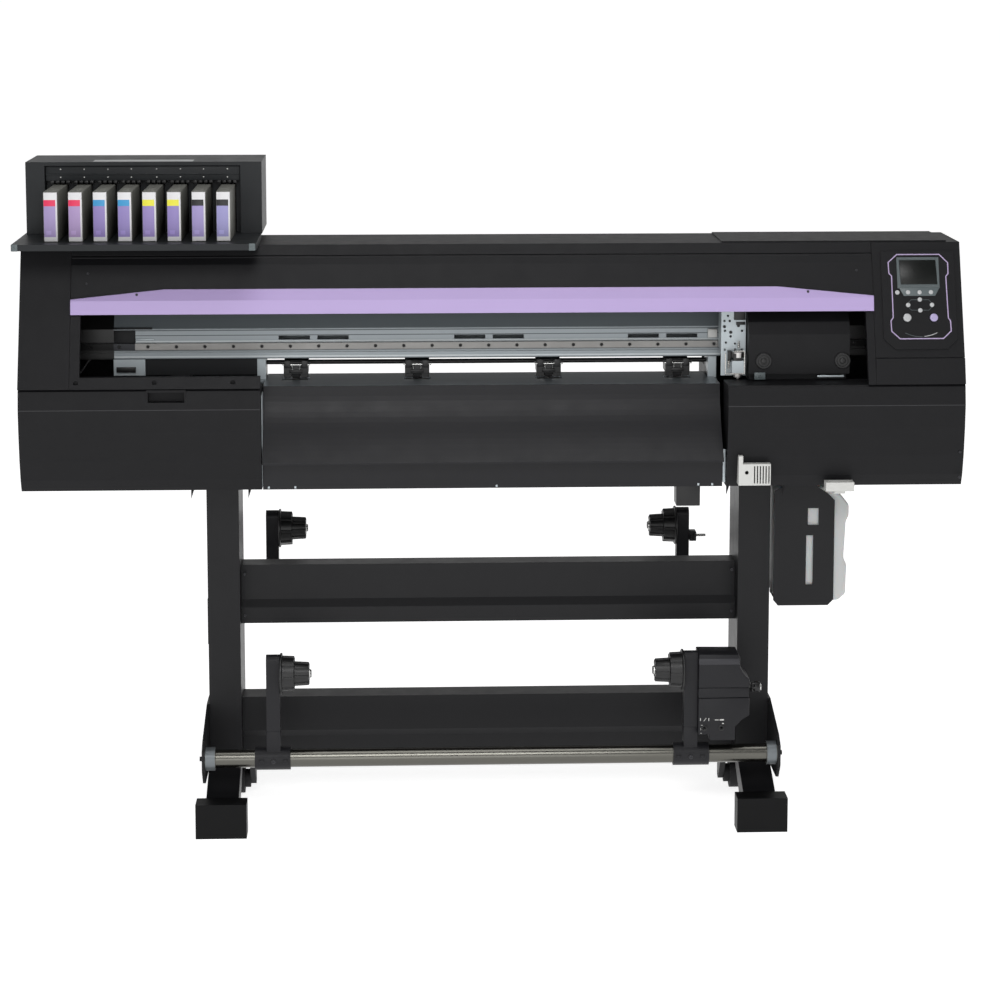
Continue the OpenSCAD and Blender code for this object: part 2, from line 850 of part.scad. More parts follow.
// The four direction keys are one moulded pad
module jog_pad() {
    color([0.7, 0.7, 0.7]) {
        for (d = [[0, 1], [0, -1], [1, 0], [-1, 0]])
            key(jog_x + d[0] * jog_half_w, jog_v + d[1] * jog_half_h, key_r);
        on_face()
            translate([jog_x - jog_half_w - 4, jog_v - jog_half_h - 4, -12])
                cube([2 * jog_half_w + 8, 2 * jog_half_h + 8, 3.5]);
    }
}

module enter_key() {
    color([0.8, 0.8, 0.8])
        key(enter_x, big_key_v, big_key_r);
}

module power_key() {
    color([0.75, 0.72, 0.82])
        key(power_x, big_key_v, big_key_r);
}

module rear_cover() {
    x0 = end_l + seam_gap;
    x1 = end_r - seam_gap;
    p = upper_profile(zs + 21, 0);
    color([0.18, 0.18, 0.19]) {
        difference() {
            prism(p, x0, x1);
            prism(inset(p, 3), x0 - 1, x1 + 1);
            // open at the bottom and in front, below the lip over the front cover
            block([x0 - 1, bulge_y - 20, zs - 20], [x1 + 1, rear_y - 3, zs + 60]);
            block([x0 - 1, bulge_y - 20, zs - 20], [x1 + 1, -100, hinge_z + cover_bead_r + 0.8]);
            // the cover's rolled edge turns here
            rod_x(x0 - 1, x1 + 1, hinge_y, hinge_z, cover_bead_r + 0.8);
        }
        // raised lid on the right of the top
        block([open_r - 5, top_front_y + 6, zt], [body_r - 27, -4, zt + 3]);
    }
}

module lower_cover(x0, x1) {
    difference() {
        prism(lower_profile(), x0, x1);
        prism(inset(lower_profile(), cover_wall), x0 + cover_wall, x1 - cover_wall);
        // open at the back and below
        block([x0 + cover_wall, chassis_front_y - 20, zb - 1],
              [x1 - cover_wall, chassis_front_y + 1, zs - cover_wall - seam_gap]);
        block([x0 + cover_wall, bulge_y + 34, zb - 1], [x1 - cover_wall, chassis_front_y + 1, zb + 10]);
    }
}

grip_x0 = body_l + 266;
grip_x1 = body_l + 341;

module lower_cover_left() {
    color([0.2, 0.2, 0.21])
        difference() {
            union() {
                lower_cover(body_l, open_l);
                // pocket round the hand grip
                block([grip_x0 - 3, bulge_y + 3, zs - 32], [grip_x1 + 3, bulge_y + 26, zs - seam_gap - 1]);
            }
            block([grip_x0, bulge_y - 5, zs - 28], [grip_x1, bulge_y + 22, zs - 7]);
        }
}

clip_x = open_r + 22;
clip_z0 = zb + 8;

module slotted_clip() {
    difference() {
        union() {
            block([clip_x, bulge_y - 6, clip_z0], [clip_x + 67, bulge_y + 32, clip_z0 + 45]);
            block([clip_x, bulge_y - 6, clip_z0], [clip_x + 9, bulge_y + 32, clip_z0 + 62]);
        }
        prism(inset(lower_profile(), -0.2), clip_x - 1, clip_x + 70);
        block([clip_x + 4, bulge_y - 2, clip_z0 + 4], [clip_x + 80, bulge_y + 40, clip_z0 + 41]);
        for (i = [0:5])
            block([clip_x + 32 + i * 6, bulge_y - 10, clip_z0 + 4], [clip_x + 34.5 + i * 6, bulge_y, clip_z0 + 41]);
        translate([clip_x + 17, bulge_y + 1, clip_z0 + 27])
            rotate([90, 0, 0])
                cylinder(r = 4, h = 12);
    }
}

module lower_cover_right() {
    color([0.2, 0.2, 0.21])
        lower_cover(open_r, body_r);
    color([0.9, 0.9, 0.9])
        slotted_clip();
}

// The front guide drops from the platen's edge and sweeps forward
guide_top_y = chassis_front_y - 3;
guide_steps = 14;
guide_drop = 147;
guide_sweep = 86;
function guide_point(i) =
    let (t = i / guide_steps)
    [guide_top_y - guide_sweep * pow(t, 1.8), platen_z - guide_drop * t];
function guide_skin(d) = [for (i = [0:guide_steps]) guide_point(i) + [d, 0]];
function backwards(p) = [for (i = [len(p) - 1:-1:0]) p[i]];

module front_guide() {
    z1 = platen_z - guide_drop;
    y1 = guide_top_y - guide_sweep;
    color([0.27, 0.275, 0.29]) {
        prism(concat(guide_skin(0), backwards(guide_skin(3))), guide_l, guide_r);
        // turned-in lower edge
        block([guide_l, y1, z1 - 4], [guide_r, bulge_y + 32, z1 + eps]);
        // lower front panel, carried by the chassis pan
        block([guide_l, bulge_y + 29, zb], [guide_r, bulge_y + 32, z1 - 4 + eps]);
        block([guide_l, bulge_y + 29, zb], [guide_r, chassis_front_y, zb + 3]);
    }
}

module platen() {
    color([0.6, 0.62, 0.62])
        difference() {
            union() {
                block([guide_l, platen_front_y, platen_z - platen_t], [guide_r, plate_front_y - 1, platen_z]);
                block([plate_l + post_w + 1, plate_front_y - 2, platen_z - platen_t],
                      [plate_r - post_w - 1, platen_back_y, platen_z]);
                // held between the side plates, in front of the posts
                block([plate_l + plate_t, plate_front_y - 2, platen_z - platen_t],
                      [plate_r - plate_t, post_front_y - 1, platen_z]);
                // rear guide falls away behind the platen
                prism([[platen_back_y, platen_z - platen_t], [rear_y - 3, zb + 110], [rear_y, zb + 110],
                       [rear_y, zb + 116], [platen_back_y + 20, platen_z - 8], [platen_back_y, platen_z]],
                      plate_l + post_w + 1, plate_r - post_w - 1);
            }
            for (x = pinch_x)
                block([x - slot_w / 2, feed_y - grit_r - 3, platen_z - 50],
                      [x + slot_w / 2, feed_y + grit_r + 3, platen_z + 5]);
        }
}

module feed_roller() {
    color([0.5, 0.5, 0.5]) {
        rod_x(plate_l, plate_r, feed_y, feed_z, feed_journal_r);
        for (x = pinch_x)
            rod_x(x - 25, x + 25, feed_y, feed_z, grit_r);
    }
}

module pinch_arms() {
    color([0.12, 0.12, 0.12]) {
        difference() {
            union() {
                rod_x(plate_l, plate_r, lift_y, lift_z, lift_shaft_r);
                for (x = pinch_x) {
                    rod_x(x - 26, x + 26, lift_y, lift_z, 8);
                    block([x - 26, -122, lift_z - 18], [x + 26, lift_y, lift_z + 5]);
                    for (s = [-1, 1])
                        block([x + s * 17.5 - 8, -118, platen_z + 4], [x + s * 17.5 + 8, -102, lift_z - 12]);
                    rod_x(x - 31, x + 31, -121, lift_z + 6, 2);
                }
            }
            for (x = pinch_x) {
                rod_x(x - 40, x + 40, pinch_y, pinch_z, pinch_axle_r + bore_gap);
                rod_x(x - pinch_w / 2 - 0.5, x + pinch_w / 2 + 0.5, pinch_y, pinch_z, pinch_r + 1.5);
            }
        }
    }
}

module pinch_wheels() {
    color([0.25, 0.25, 0.25])
        for (x = pinch_x) {
            rod_x(x - pinch_w / 2, x + pinch_w / 2, pinch_y, pinch_z, pinch_r);
            rod_x(x - 25, x + 25, pinch_y, pinch_z, pinch_axle_r);
        }
}

module clamp_lever() {
    color([0.9, 0.9, 0.88])
        difference() {
            union() {
                block([lever_x0, bulge_y - 6, zb - 6], [lever_x1, bulge_y + 22, zb + 13]);
                block([lever_x0 + 18, bulge_y, zb - 12], [lever_x1 - 18, lever_pivot_y, zb - 3]);
                rod_x(lever_x0 + 18, lever_x1 - 18, lever_pivot_y, lever_pivot_z, 7);
                rod_x(lever_x0 + 2, lever_x1 - 2, lever_pivot_y, lever_pivot_z, 4);
            }
            block([lever_x0 + 6, bulge_y - 2, zb + 3], [lever_x1 - 6, bulge_y + 14, zb + 20]);
        }
}

// The bar is an extrusion, as [y, z] from its front lower corner
bar_points = [[0, 0], [bar_d, 0], [bar_d, bar_h], [30, bar_h], [0, bar_h - 60]];

module y_bar() {
    color([0.6, 0.64, 0.66])
        translate([0, bar_front_y, bar_z])
            difference() {
                union() {
                    shell(bar_points, 5, bar_l, bar_r, 0, 0);
                    block([bar_l, -3, 2], [bar_r, 1, 14]);
                }
                // long slots behind the cutter strip
                for (x = [-450, -78, 292], d = [0, 82])
                    block([x + d, -6, bar_h - 83.5], [x + d + 66, 6, bar_h - 75]);
            }
}

module linear_rail() {
    color([0.75, 0.75, 0.74])
        difference() {
            block([bar_l + 40, rail_front_y, rail_z - rail_w / 2], [bar_r - 40, bar_front_y, rail_z + rail_w / 2]);
            for (x = [bar_l + 95:60:bar_r - 70])
                translate([x, rail_front_y - 1, rail_z])
                    rotate([-90, 0, 0])
                        cylinder(r = 3.5, h = 7, $fn = 24);
        }
}

module maintenance_unit() {
    color([0.25, 0.25, 0.26]) {
        // long cover under the bar's left end
        block([body_l + 246, post_front_y, zs + 1], [plate_l, post_back_y - 10, bar_z]);
        // its stand
        block([body_l + 300, post_front_y, zb + 3], [body_l + 340, post_back_y - 10, zs + 1 + eps]);
    }
    color([0.6, 0.62, 0.63])
        block([body_l + 179, post_front_y - 4, zs + 1], [body_l + 245.5, post_back_y - 10, bar_z]);
    color([0.15, 0.15, 0.15]) {
        // capping station under the parked carriage
        difference() {
            block([carriage_l + 10, -214, zb + 3], [carriage_l + 200, -138, base_bottom - 3]);
            for (i = [0, 1])
                block([carriage_l + 40 + i * 80, -200, base_bottom - 20],
                      [carriage_l + 100 + i * 80, -152, base_bottom]);
        }
    }
}

// ---------- front cover ----------

cover_points = [
    [face_y(lip_bottom + 3) - 2, lip_bottom + 3],
    [face_y(lip_bottom + 3) - 2 + cover_wall_t, lip_bottom + 3],
    [face_y(band_z) - 4.5 + cover_wall_t, band_z],
    [hinge_y, hinge_z - 2],
    [hinge_y - 2, hinge_z + 2],
    [face_y(hinge_z) + 0.6, hinge_z],
    [face_y(band_z) - 4.5, band_z],
    [face_y(lip_top) - 4.5, lip_top]
];

module front_cover() {
    color([0.18, 0.18, 0.19]) {
        prism(cover_points, cover_l, cover_r);
        rod_x(cover_l, cover_r, hinge_y, hinge_z, cover_bead_r);
        rod_x(cover_l - cover_wall, cover_r + cover_wall, hinge_y, hinge_z, cover_pin_r);
    }
}

lip_points = [
    [face_y(lip_bottom) - 2, lip_bottom],
    [face_y(lip_bottom + 3) - 2, lip_bottom + 3],
    [face_y(lip_top) - 4.5, lip_top],
    [face_y(lip_top) - 5.5, lip_top],
    [face_y(crease_z) - lip_proud - 5, crease_z],
    [face_y(lip_bottom) - lip_proud, lip_bottom]
];
lip_taper_l = 192;
lip_taper_r = 200;
lip_taper_h = 19;

module cover_lip() {
    color([0.72, 0.66, 0.82])
        difference() {
            prism(lip_points, cover_l, cover_r);
            translate([0, bulge_y - 30, 0])
                rotate([90, 0, 0])
                    mirror([0, 0, 1])
                        linear_extrude(120) {
                            polygon([[cover_l - 1, lip_top - lip_taper_h], [cover_l + lip_taper_l, lip_top],
                                [cover_l + lip_taper_l, lip_top + 1], [cover_l - 1, lip_top + 1]]);
                            polygon([[cover_r + 1, lip_top - lip_taper_h], [cover_r + 1, lip_top + 1],
                                [cover_r - lip_taper_r, lip_top + 1], [cover_r - lip_taper_r, lip_top]]);
                        }
        }
}

// ---------- carriages ----------

carriage_r = carriage_l + carriage_w;
carriage_points = [
    [carriage_front_y, carriage_bottom],
    [carriage_back_y, carriage_bottom],
    [carriage_back_y, carriage_top],
    [carriage_front_y + 34, carriage_top],
    [carriage_front_y + 12, carriage_top - 24],
    [carriage_front_y, carriage_bottom + 84]
];

module carriage_cover() {
    color([0.2, 0.2, 0.21])
        difference() {
            shell(carriage_points, 3, carriage_l, carriage_r, 3, 3);
            block([carriage_l + 3, carriage_back_y - 4, carriage_bottom - 1],
                  [carriage_r - 3, carriage_back_y + 1, carriage_top + 1]);
            block([carriage_l + 3, carriage_front_y + 3, carriage_bottom - 1],
                  [carriage_r - 3, carriage_back_y + 1, carriage_bottom + 4]);
        }
}

module carriage_base() {
    color([0.3, 0.31, 0.32]) {
        // head plate, back plate and bearing block round the rail
        block([carriage_l + 4, chassis_front_y + 2, base_bottom],
              [carriage_r - 4, carriage_back_y, carriage_bottom - eps]);
        block([carriage_l + 20, carriage_back_y - 4, carriage_bottom - 2],
              [carriage_r - 20, carriage_back_y, carriage_top - 10]);
        difference() {
            block([carriage_l + 50, carriage_back_y - 1, rail_z - 20],
                  [carriage_r - 50, bar_front_y - 4, rail_z + 20]);
            block([carriage_l + 49, rail_front_y - 0.3, rail_z - rail_w / 2 - 0.3],
                  [carriage_r - 49, bar_front_y, rail_z + rail_w / 2 + 0.3]);
        }
    }
}

cutter_l = carriage_l - 2 - cutter_w;
cutter_r = carriage_l - 2;
holder_x = cutter_l + 34;
holder_y = -200;

module cutter_carriage() {
    color([0.7, 0.7, 0.68])
        difference() {
            union() {
                block([cutter_l, -186, zs + 5], [cutter_r, -182, zs + 150]);
                block([cutter_l, -186, zs + 60], [cutter_l + 4, carriage_back_y, zs + 140]);
                block([cutter_r - 4, -186, zs + 60], [cutter_r, carriage_back_y, zs + 140]);
                // arm that meets the print carriage
                block([cutter_l, -160, zs + 70], [carriage_l, -144.5, zs + 84]);
                // bearing block on the rail
                block([cutter_l + 4, -146, rail_z - 18], [cutter_r - 4, bar_front_y - 4, rail_z + 18]);
                // tool holder's block
                block([holder_x - 14, -214, zs + 14], [holder_x + 14, -184, zs + 40]);
            }
            block([cutter_l + 3, rail_front_y - 0.3, rail_z - rail_w / 2 - 0.3],
                  [cutter_r - 3, bar_front_y, rail_z + rail_w / 2 + 0.3]);
            translate([holder_x, holder_y, zs])
                cylinder(r = holder_r + bore_gap, h = 60);
            for (p = [[8, 60], [30, 60], [44, 60], [8, 100], [20, 88], [44, 100], [14, 132], [38, 132]])
                translate([cutter_l + p[0], -190, zs + p[1]])
                    rotate([-90, 0, 0])
                        cylinder(r = 2.5, h = 20, $fn = 24);
        }
}

module tool_holder() {
    color([0.55, 0.56, 0.57]) {
        translate([holder_x, holder_y, zs + 4])
            cylinder(r = holder_r, h = 50);
        translate([holder_x, holder_y, zs + 46])
            cylinder(r = holder_r + 4, h = 12);
        translate([holder_x, holder_y, zs + 0.5])
            cylinder(r = 3, h = 6);
    }
}

// ---------- ink ----------

module ink_shelf() {
    color([0.24, 0.25, 0.26]) {
        block([shelf_l, shelf_front_y, shelf_top - 3], [shelf_r, ink_back_y, shelf_top]);
        block([shelf_l, shelf_front_y, shelf_bottom], [shelf_r, shelf_front_y + 3, shelf_top]);
        for (x = [shelf_l, shelf_r - 3])
            block([x, shelf_front_y, shelf_bottom], [x + 3, ink_front_y, shelf_top]);
        for (y = [top_front_y + 20, -30])
            block([shelf_l + 20, y, zt], [shelf_r - 20, y + 12, shelf_top - 3 + eps]);
    }
}

module ink_box() {
    color([0.24, 0.25, 0.26])
        difference() {
            block([ink_l, ink_front_y, shelf_top], [ink_r, ink_back_y, ink_top]);
            // bay behind the opening
            block([ink_l + 40, ink_front_y - 1, shelf_top - 1], [ink_r - 45, ink_front_y + 30, ink_top - 8]);
            // one pocket for each cartridge
            for (i = [0:cartridges - 1])
                block([first_cartridge_x + i * cartridge_pitch - cartridge_w / 2 - 1, ink_front_y, shelf_top - 1],
                      [first_cartridge_x + i * cartridge_pitch + cartridge_w / 2 + 1,
                       cartridge_front_y + cartridge_l + 2, shelf_top + cartridge_h + 2]);
            // hollow above the pockets and behind them
            block([ink_l + ink_wall, ink_front_y + 34, shelf_top + cartridge_h + 6],
                  [ink_r - ink_wall, ink_back_y - ink_wall, ink_top - ink_wall]);
            block([ink_l + ink_wall, cartridge_front_y + cartridge_l + 6, shelf_top - 1],
                  [ink_r - ink_wall, ink_back_y - ink_wall, shelf_top + cartridge_h + 7]);
        }
}

module cartridge(i) {
    x = first_cartridge_x + (i - 1) * cartridge_pitch;
    color([0.42, 0.42, 0.4])
        block([x - cartridge_w / 2, cartridge_front_y, shelf_top + 0.3],
              [x + cartridge_w / 2, cartridge_front_y + cartridge_l, shelf_top + cartridge_h]);
}

legs();
feet();
foot_caps();
stand_beams();
roll_tubes();
bottle_bracket();
base_frame();
side_cover_left();
side_cover_right();
panel_cover();
rear_cover();
lower_cover_left();
lower_cover_right();
front_guide();
platen();
y_bar();
linear_rail();
maintenance_unit();
ink_box();
ink_shelf();
display();
front_cover();
cover_lip();
carriage_cover();
carriage_base();
cutter_carriage();
tool_holder();
pinch_arms();
pinch_wheels();
feed_roller();
clamp_lever();
waste_bottle();
takeup_arm_left();
takeup_arm_right();
takeup_cone_left();
takeup_cone_right();
takeup_motor();
motor_knob();
motor_switches();
supply_arm_left();
supply_arm_right();
supply_cone_left();
supply_cone_right();
castor_fork(0);  // castor_fork_left
castor_fork(1);  // castor_fork_right
castor_wheel(0);  // castor_wheel_left
castor_wheel(1);  // castor_wheel_right
select_key();
soft_keys();
jog_pad();
enter_key();
power_key();
for (i = [1:cartridges])
    cartridge(i);
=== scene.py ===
# %% [markdown]
# # A printer cutter on its stand
# The machine prints and cuts wide rolls of vinyl. A steel stand carries a long body, and
# the roll of blank vinyl hangs behind it and the finished roll is wound up in front. The
# sizes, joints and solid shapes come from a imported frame. Here it gets its finishes and
# the small pieces that a workshop drawing leaves out.

# %% Load the frame
import math
import bpy
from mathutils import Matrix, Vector


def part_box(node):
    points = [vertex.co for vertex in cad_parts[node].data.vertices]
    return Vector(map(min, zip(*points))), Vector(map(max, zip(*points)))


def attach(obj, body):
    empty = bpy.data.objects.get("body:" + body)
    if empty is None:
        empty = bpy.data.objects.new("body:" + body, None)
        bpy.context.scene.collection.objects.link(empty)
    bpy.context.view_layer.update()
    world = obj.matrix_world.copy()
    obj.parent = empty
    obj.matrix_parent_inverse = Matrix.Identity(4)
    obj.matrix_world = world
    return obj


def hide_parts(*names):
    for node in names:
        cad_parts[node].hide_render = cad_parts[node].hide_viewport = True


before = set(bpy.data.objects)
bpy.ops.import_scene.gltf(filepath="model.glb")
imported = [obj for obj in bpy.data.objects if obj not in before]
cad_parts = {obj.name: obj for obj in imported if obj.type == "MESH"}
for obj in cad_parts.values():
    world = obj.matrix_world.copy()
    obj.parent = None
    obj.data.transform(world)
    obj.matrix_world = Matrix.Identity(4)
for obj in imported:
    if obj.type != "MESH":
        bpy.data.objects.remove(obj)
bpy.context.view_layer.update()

# %% [markdown]
# ## The studio
# A pale floor and a sky that is bright at the horizon and dim overhead copy a studio's
# white walls and dark ceiling, so upright panels read lighter than sloping ones.
# The viewer stands a little left of the middle, higher than the machine, and looks down
# at it with a long lens, so its uprights stay nearly upright.

# %% Floor
FLOOR_SIZE = 60.0
bpy.ops.object.select_all(action="DESELECT")
bpy.ops.mesh.primitive_plane_add(size=FLOOR_SIZE, location=(0, 0, -0.0005))
floor = bpy.context.object
floor.name = "studio_floor"
bpy.ops.object.mode_set(mode="EDIT")
bpy.ops.mesh.subdivide(number_cuts=4)
bpy.ops.object.mode_set(mode="OBJECT")
floor_paint = bpy.data.materials.new("pale_floor")
floor_paint.use_nodes = True
shader = floor_paint.node_tree.nodes["Principled BSDF"]
shader.inputs["Base Color"].default_value = (0.93, 0.93, 0.93, 1)
shader.inputs["Roughness"].default_value = 0.9
shader.inputs["Specular IOR Level"].default_value = 0.1
shader.inputs["Emission Color"].default_value = (1, 1, 1, 1)
shader.inputs["Emission Strength"].default_value = 0.78
floor.data.materials.append(floor_paint)

print("floor", FLOOR_SIZE, "m wide")

# %% [markdown]
# ### Sky and lamps
# One picture of the sky would do, but a gradient by height is enough and easy to change:
# full brightness up to a few degrees above the horizon, then a fall to a dim ceiling.
# Three square lamps add what a sky can't, a soft highlight in the middle of each cover.

# %% Sky and lamps
scene = bpy.context.scene
scene.view_settings.view_transform = "Standard"
sky = bpy.data.worlds.new("soft_sky")
sky.use_nodes = True
looking = sky.node_tree.nodes.new("ShaderNodeTexCoord")
height = sky.node_tree.nodes.new("ShaderNodeSeparateXYZ")
fade = sky.node_tree.nodes.new("ShaderNodeMapRange")
HORIZON_TOP, CEILING = 0.10, 0.45
WALL_LIGHT, CEILING_LIGHT = 1.02, 0.20
fade.inputs["From Min"].default_value = HORIZON_TOP
fade.inputs["From Max"].default_value = CEILING
fade.inputs["To Min"].default_value = WALL_LIGHT
fade.inputs["To Max"].default_value = CEILING_LIGHT
sky.node_tree.links.new(looking.outputs["Generated"], height.inputs[0])
sky.node_tree.links.new(height.outputs["Z"], fade.inputs["Value"])
sky.node_tree.links.new(fade.outputs[0], sky.node_tree.nodes["Background"].inputs["Strength"])
sky.node_tree.nodes["Background"].inputs["Color"].default_value = (1, 1, 1, 1)
scene.world = sky


def soft_box(name, place, size, watts, aim=(0, 0, 0.8)):
    """A square area light that points at the machine."""
    bpy.ops.object.select_all(action="DESELECT")
    bpy.ops.object.light_add(type="AREA", location=place)
    lamp = bpy.context.object
    lamp.name = name
    lamp.data.size = size
    lamp.data.energy = watts
    lamp.rotation_euler = (Vector(aim) - Vector(place)).to_track_quat("-Z", "Y").to_euler()
    return lamp


soft_box("top_box", (0.2, -0.8, 4.8), 2.4, 55)
soft_box("key_box", (-0.2, -4.6, 3.9), 1.8, 85, (0, 0, 0.9))
soft_box("front_box", (-0.6, -7.5, 0.9), 3.4, 70, (0, 0, 0.7))

print("sky and three lamps")

# %% [markdown]
# ### Camera
# A long lens a few metres away keeps the machine's proportions. The lens is shifted down a
# fifth of the picture's width instead of being tilted further, as an architect's camera is.

# %% Camera
EYE = (-0.191, -5.657, 1.840)
LOOK_DOWN, TURN_RIGHT = 7.626, 2.175
camera = bpy.data.cameras.new("viewer")
camera.lens = 94.9
camera.sensor_width = 36
camera.shift_y = -0.2
camera.clip_end = 100
viewer = bpy.data.objects.new("viewer", camera)
scene.collection.objects.link(viewer)
viewer.location = EYE
viewer.rotation_euler = (math.radians(90 - LOOK_DOWN), 0, math.radians(-TURN_RIGHT))
scene.camera = viewer
print("camera", round(viewer.location.length, 2), "m from the origin")

# %% [markdown]
# ## Finishes
# Moulded plastic, powder paint, ground steel and rubber all show three things: a tone
# that drifts a little over the surface, a gloss that drifts with it, and a fine grain.
# One function lays these down as noise in the object's own space, at the real grain's
# size. Edges are a little lighter: partly wear where hands and tools rub them, partly a painted highlight
# on the edge.

# %% Colours and nodes
def tone(red, green, blue):
    """A colour as a painter names it, 0 to 255, turned into light."""
    return [((c / 255 + 0.055) / 1.055) ** 2.4 if c > 10 else c / 3294 for c in (red, green, blue)]


def add(tree, kind, **values):
    """A new node, with its own settings given by name."""
    node = tree.nodes.new("ShaderNode" + kind)
    for key, value in values.items():
        setattr(node, key, value)
    return node


def wire(tree, source, target):
    tree.links.new(source, target)
    return target.node


def noise(tree, place, scale, detail=3.0):
    node = add(tree, "TexNoise")
    node.inputs["Scale"].default_value = scale
    node.inputs["Detail"].default_value = detail
    wire(tree, place, node.inputs["Vector"])
    return node.outputs["Fac"]


print("lavender as light:", [round(c, 3) for c in tone(166, 148, 192)])

# %% [markdown]
# ### Two colours on one surface
# A printed label could be an image, but then its edges blur when seen close. Here a mark is
# a box in the object's own space, and everything inside it takes the mark's colour: print on some surfaces,
# painted shade and painted highlights on others.

# %% Blending and marks
def blend_colour(tree, amount, below, above):
    """Mixes two colours, each a socket or a list of three, by a socket."""
    node = add(tree, "Mix", data_type="RGBA")
    wire(tree, amount, node.inputs["Factor"])
    for socket, value in ((node.inputs[6], below), (node.inputs[7], above)):
        if isinstance(value, (list, tuple)):
            socket.default_value = (*value, 1)
        else:
            wire(tree, value, socket)
    return node.outputs[2]


def inside(tree, place, lo, hi):
    """1 inside a box given in millimetres, else 0: a mark's area, for print and for painted shade and
    highlights.
    """
    lo, hi = Vector(lo) / 1000, Vector(hi) / 1000
    shifted = add(tree, "VectorMath", operation="SUBTRACT")
    wire(tree, place, shifted.inputs[0])
    shifted.inputs[1].default_value = (lo + hi) / 2
    size = add(tree, "VectorMath", operation="ABSOLUTE")
    wire(tree, shifted.outputs[0], size.inputs[0])
    rest = add(tree, "VectorMath", operation="SUBTRACT")
    wire(tree, size.outputs[0], rest.inputs[0])
    rest.inputs[1].default_value = (hi - lo) / 2
    split = wire(tree, rest.outputs[0], add(tree, "SeparateXYZ").inputs[0])
    first = add(tree, "Math", operation="MAXIMUM")
    wire(tree, split.outputs[0], first.inputs[0])
    wire(tree, split.outputs[1], first.inputs[1])
    second = add(tree, "Math", operation="MAXIMUM")
    wire(tree, first.outputs[0], second.inputs[0])
    wire(tree, split.outputs[2], second.inputs[1])
    under = add(tree, "Math", operation="LESS_THAN")
    wire(tree, second.outputs[0], under.inputs[0])
    under.inputs[1].default_value = 0.0
    return under.outputs[0]


print("marks are boxes in millimetres")

# %% [markdown]
# ### The finish itself
# Noise drives the tone, the gloss and the grain. The rounded normal of a bevel node is
# compared with the true one, and where they differ there is an edge, which gets a lighter
# tone, partly wear and partly a painted highlight. A stretched grain gives brushed or ground metal.

# %% One finish
def finish(name, colour, rough, metal=0.0, shine=0.5, grain=1100.0, depth=0.10, drift=0.10,
           patch=7.0, stretch=(1, 1, 1), round_edge=0.0012, edge_wear_and_highlight=0.35, coat=0.0, marks=()):
    """A material from the three noises, edges lightened for wear and painted highlight, and marks of print,
    painted shade and painted highlights.
    """
    made = bpy.data.materials.new(name)
    made.use_nodes = True
    tree = made.node_tree
    shader = tree.nodes["Principled BSDF"]
    shader.inputs["Metallic"].default_value = metal
    shader.inputs["Specular IOR Level"].default_value = shine
    shader.inputs["Coat Weight"].default_value = coat
    here = add(tree, "TexCoord").outputs["Object"]
    scaled = add(tree, "Mapping")
    scaled.inputs["Scale"].default_value = stretch
    wire(tree, here, scaled.inputs["Vector"])
    place = scaled.outputs["Vector"]

    dark = [c * (1 - drift) for c in colour]
    light = [min(1.0, c * (1 + drift)) for c in colour]
    skin = blend_colour(tree, noise(tree, here, patch, 4.0), dark, light)

    soft = add(tree, "Bevel", samples=4)
    soft.inputs["Radius"].default_value = round_edge
    flat = add(tree, "NewGeometry")
    facing = add(tree, "VectorMath", operation="DOT_PRODUCT")
    wire(tree, soft.outputs["Normal"], facing.inputs[0])
    wire(tree, flat.outputs["Normal"], facing.inputs[1])
    edge = add(tree, "MapRange")
    edge.inputs["From Min"].default_value = 0.995
    edge.inputs["From Max"].default_value = 0.80
    edge.inputs["To Max"].default_value = edge_wear_and_highlight
    wire(tree, facing.outputs["Value"], edge.inputs["Value"])
    # Edges take a lighter tone: partly wear, partly a painted highlight.
    skin = blend_colour(tree, edge.outputs[0], skin, [min(1.0, c * 2.2 + 0.02) for c in colour])
    # Marks lay down print, and also painted shade and painted highlights.
    for lo, hi, tint in marks:
        skin = blend_colour(tree, inside(tree, here, lo, hi), skin, tint)
    wire(tree, skin, shader.inputs["Base Color"])

    gloss = add(tree, "MapRange")
    gloss.inputs["To Min"].default_value = max(0.03, rough - 0.07)
    gloss.inputs["To Max"].default_value = min(1.0, rough + 0.07)
    wire(tree, noise(tree, place, patch * 5, 5.0), gloss.inputs["Value"])
    wire(tree, gloss.outputs[0], shader.inputs["Roughness"])

    bump = add(tree, "Bump")
    bump.inputs["Strength"].default_value = depth
    bump.inputs["Distance"].default_value = 0.0005
    wire(tree, noise(tree, place, grain, 2.0), bump.inputs["Height"])
    wire(tree, soft.outputs["Normal"], bump.inputs["Normal"])
    wire(tree, bump.outputs["Normal"], shader.inputs["Normal"])
    return made


print("a finish has three noises and an edge")

# %% [markdown]
# ### The machine's own colours
# Nearly everything is black or charcoal, and what tells the pieces apart is the gloss:
# covers are grained plastic, the guide and the ink box are powder painted sheet, and the
# stand is a smoother satin paint. Lavender marks the cover's lip.

# %% The finishes themselves
cover_black = finish("cover_black", tone(19, 19, 21), 0.50, shine=0.17, grain=1400, depth=0.16)
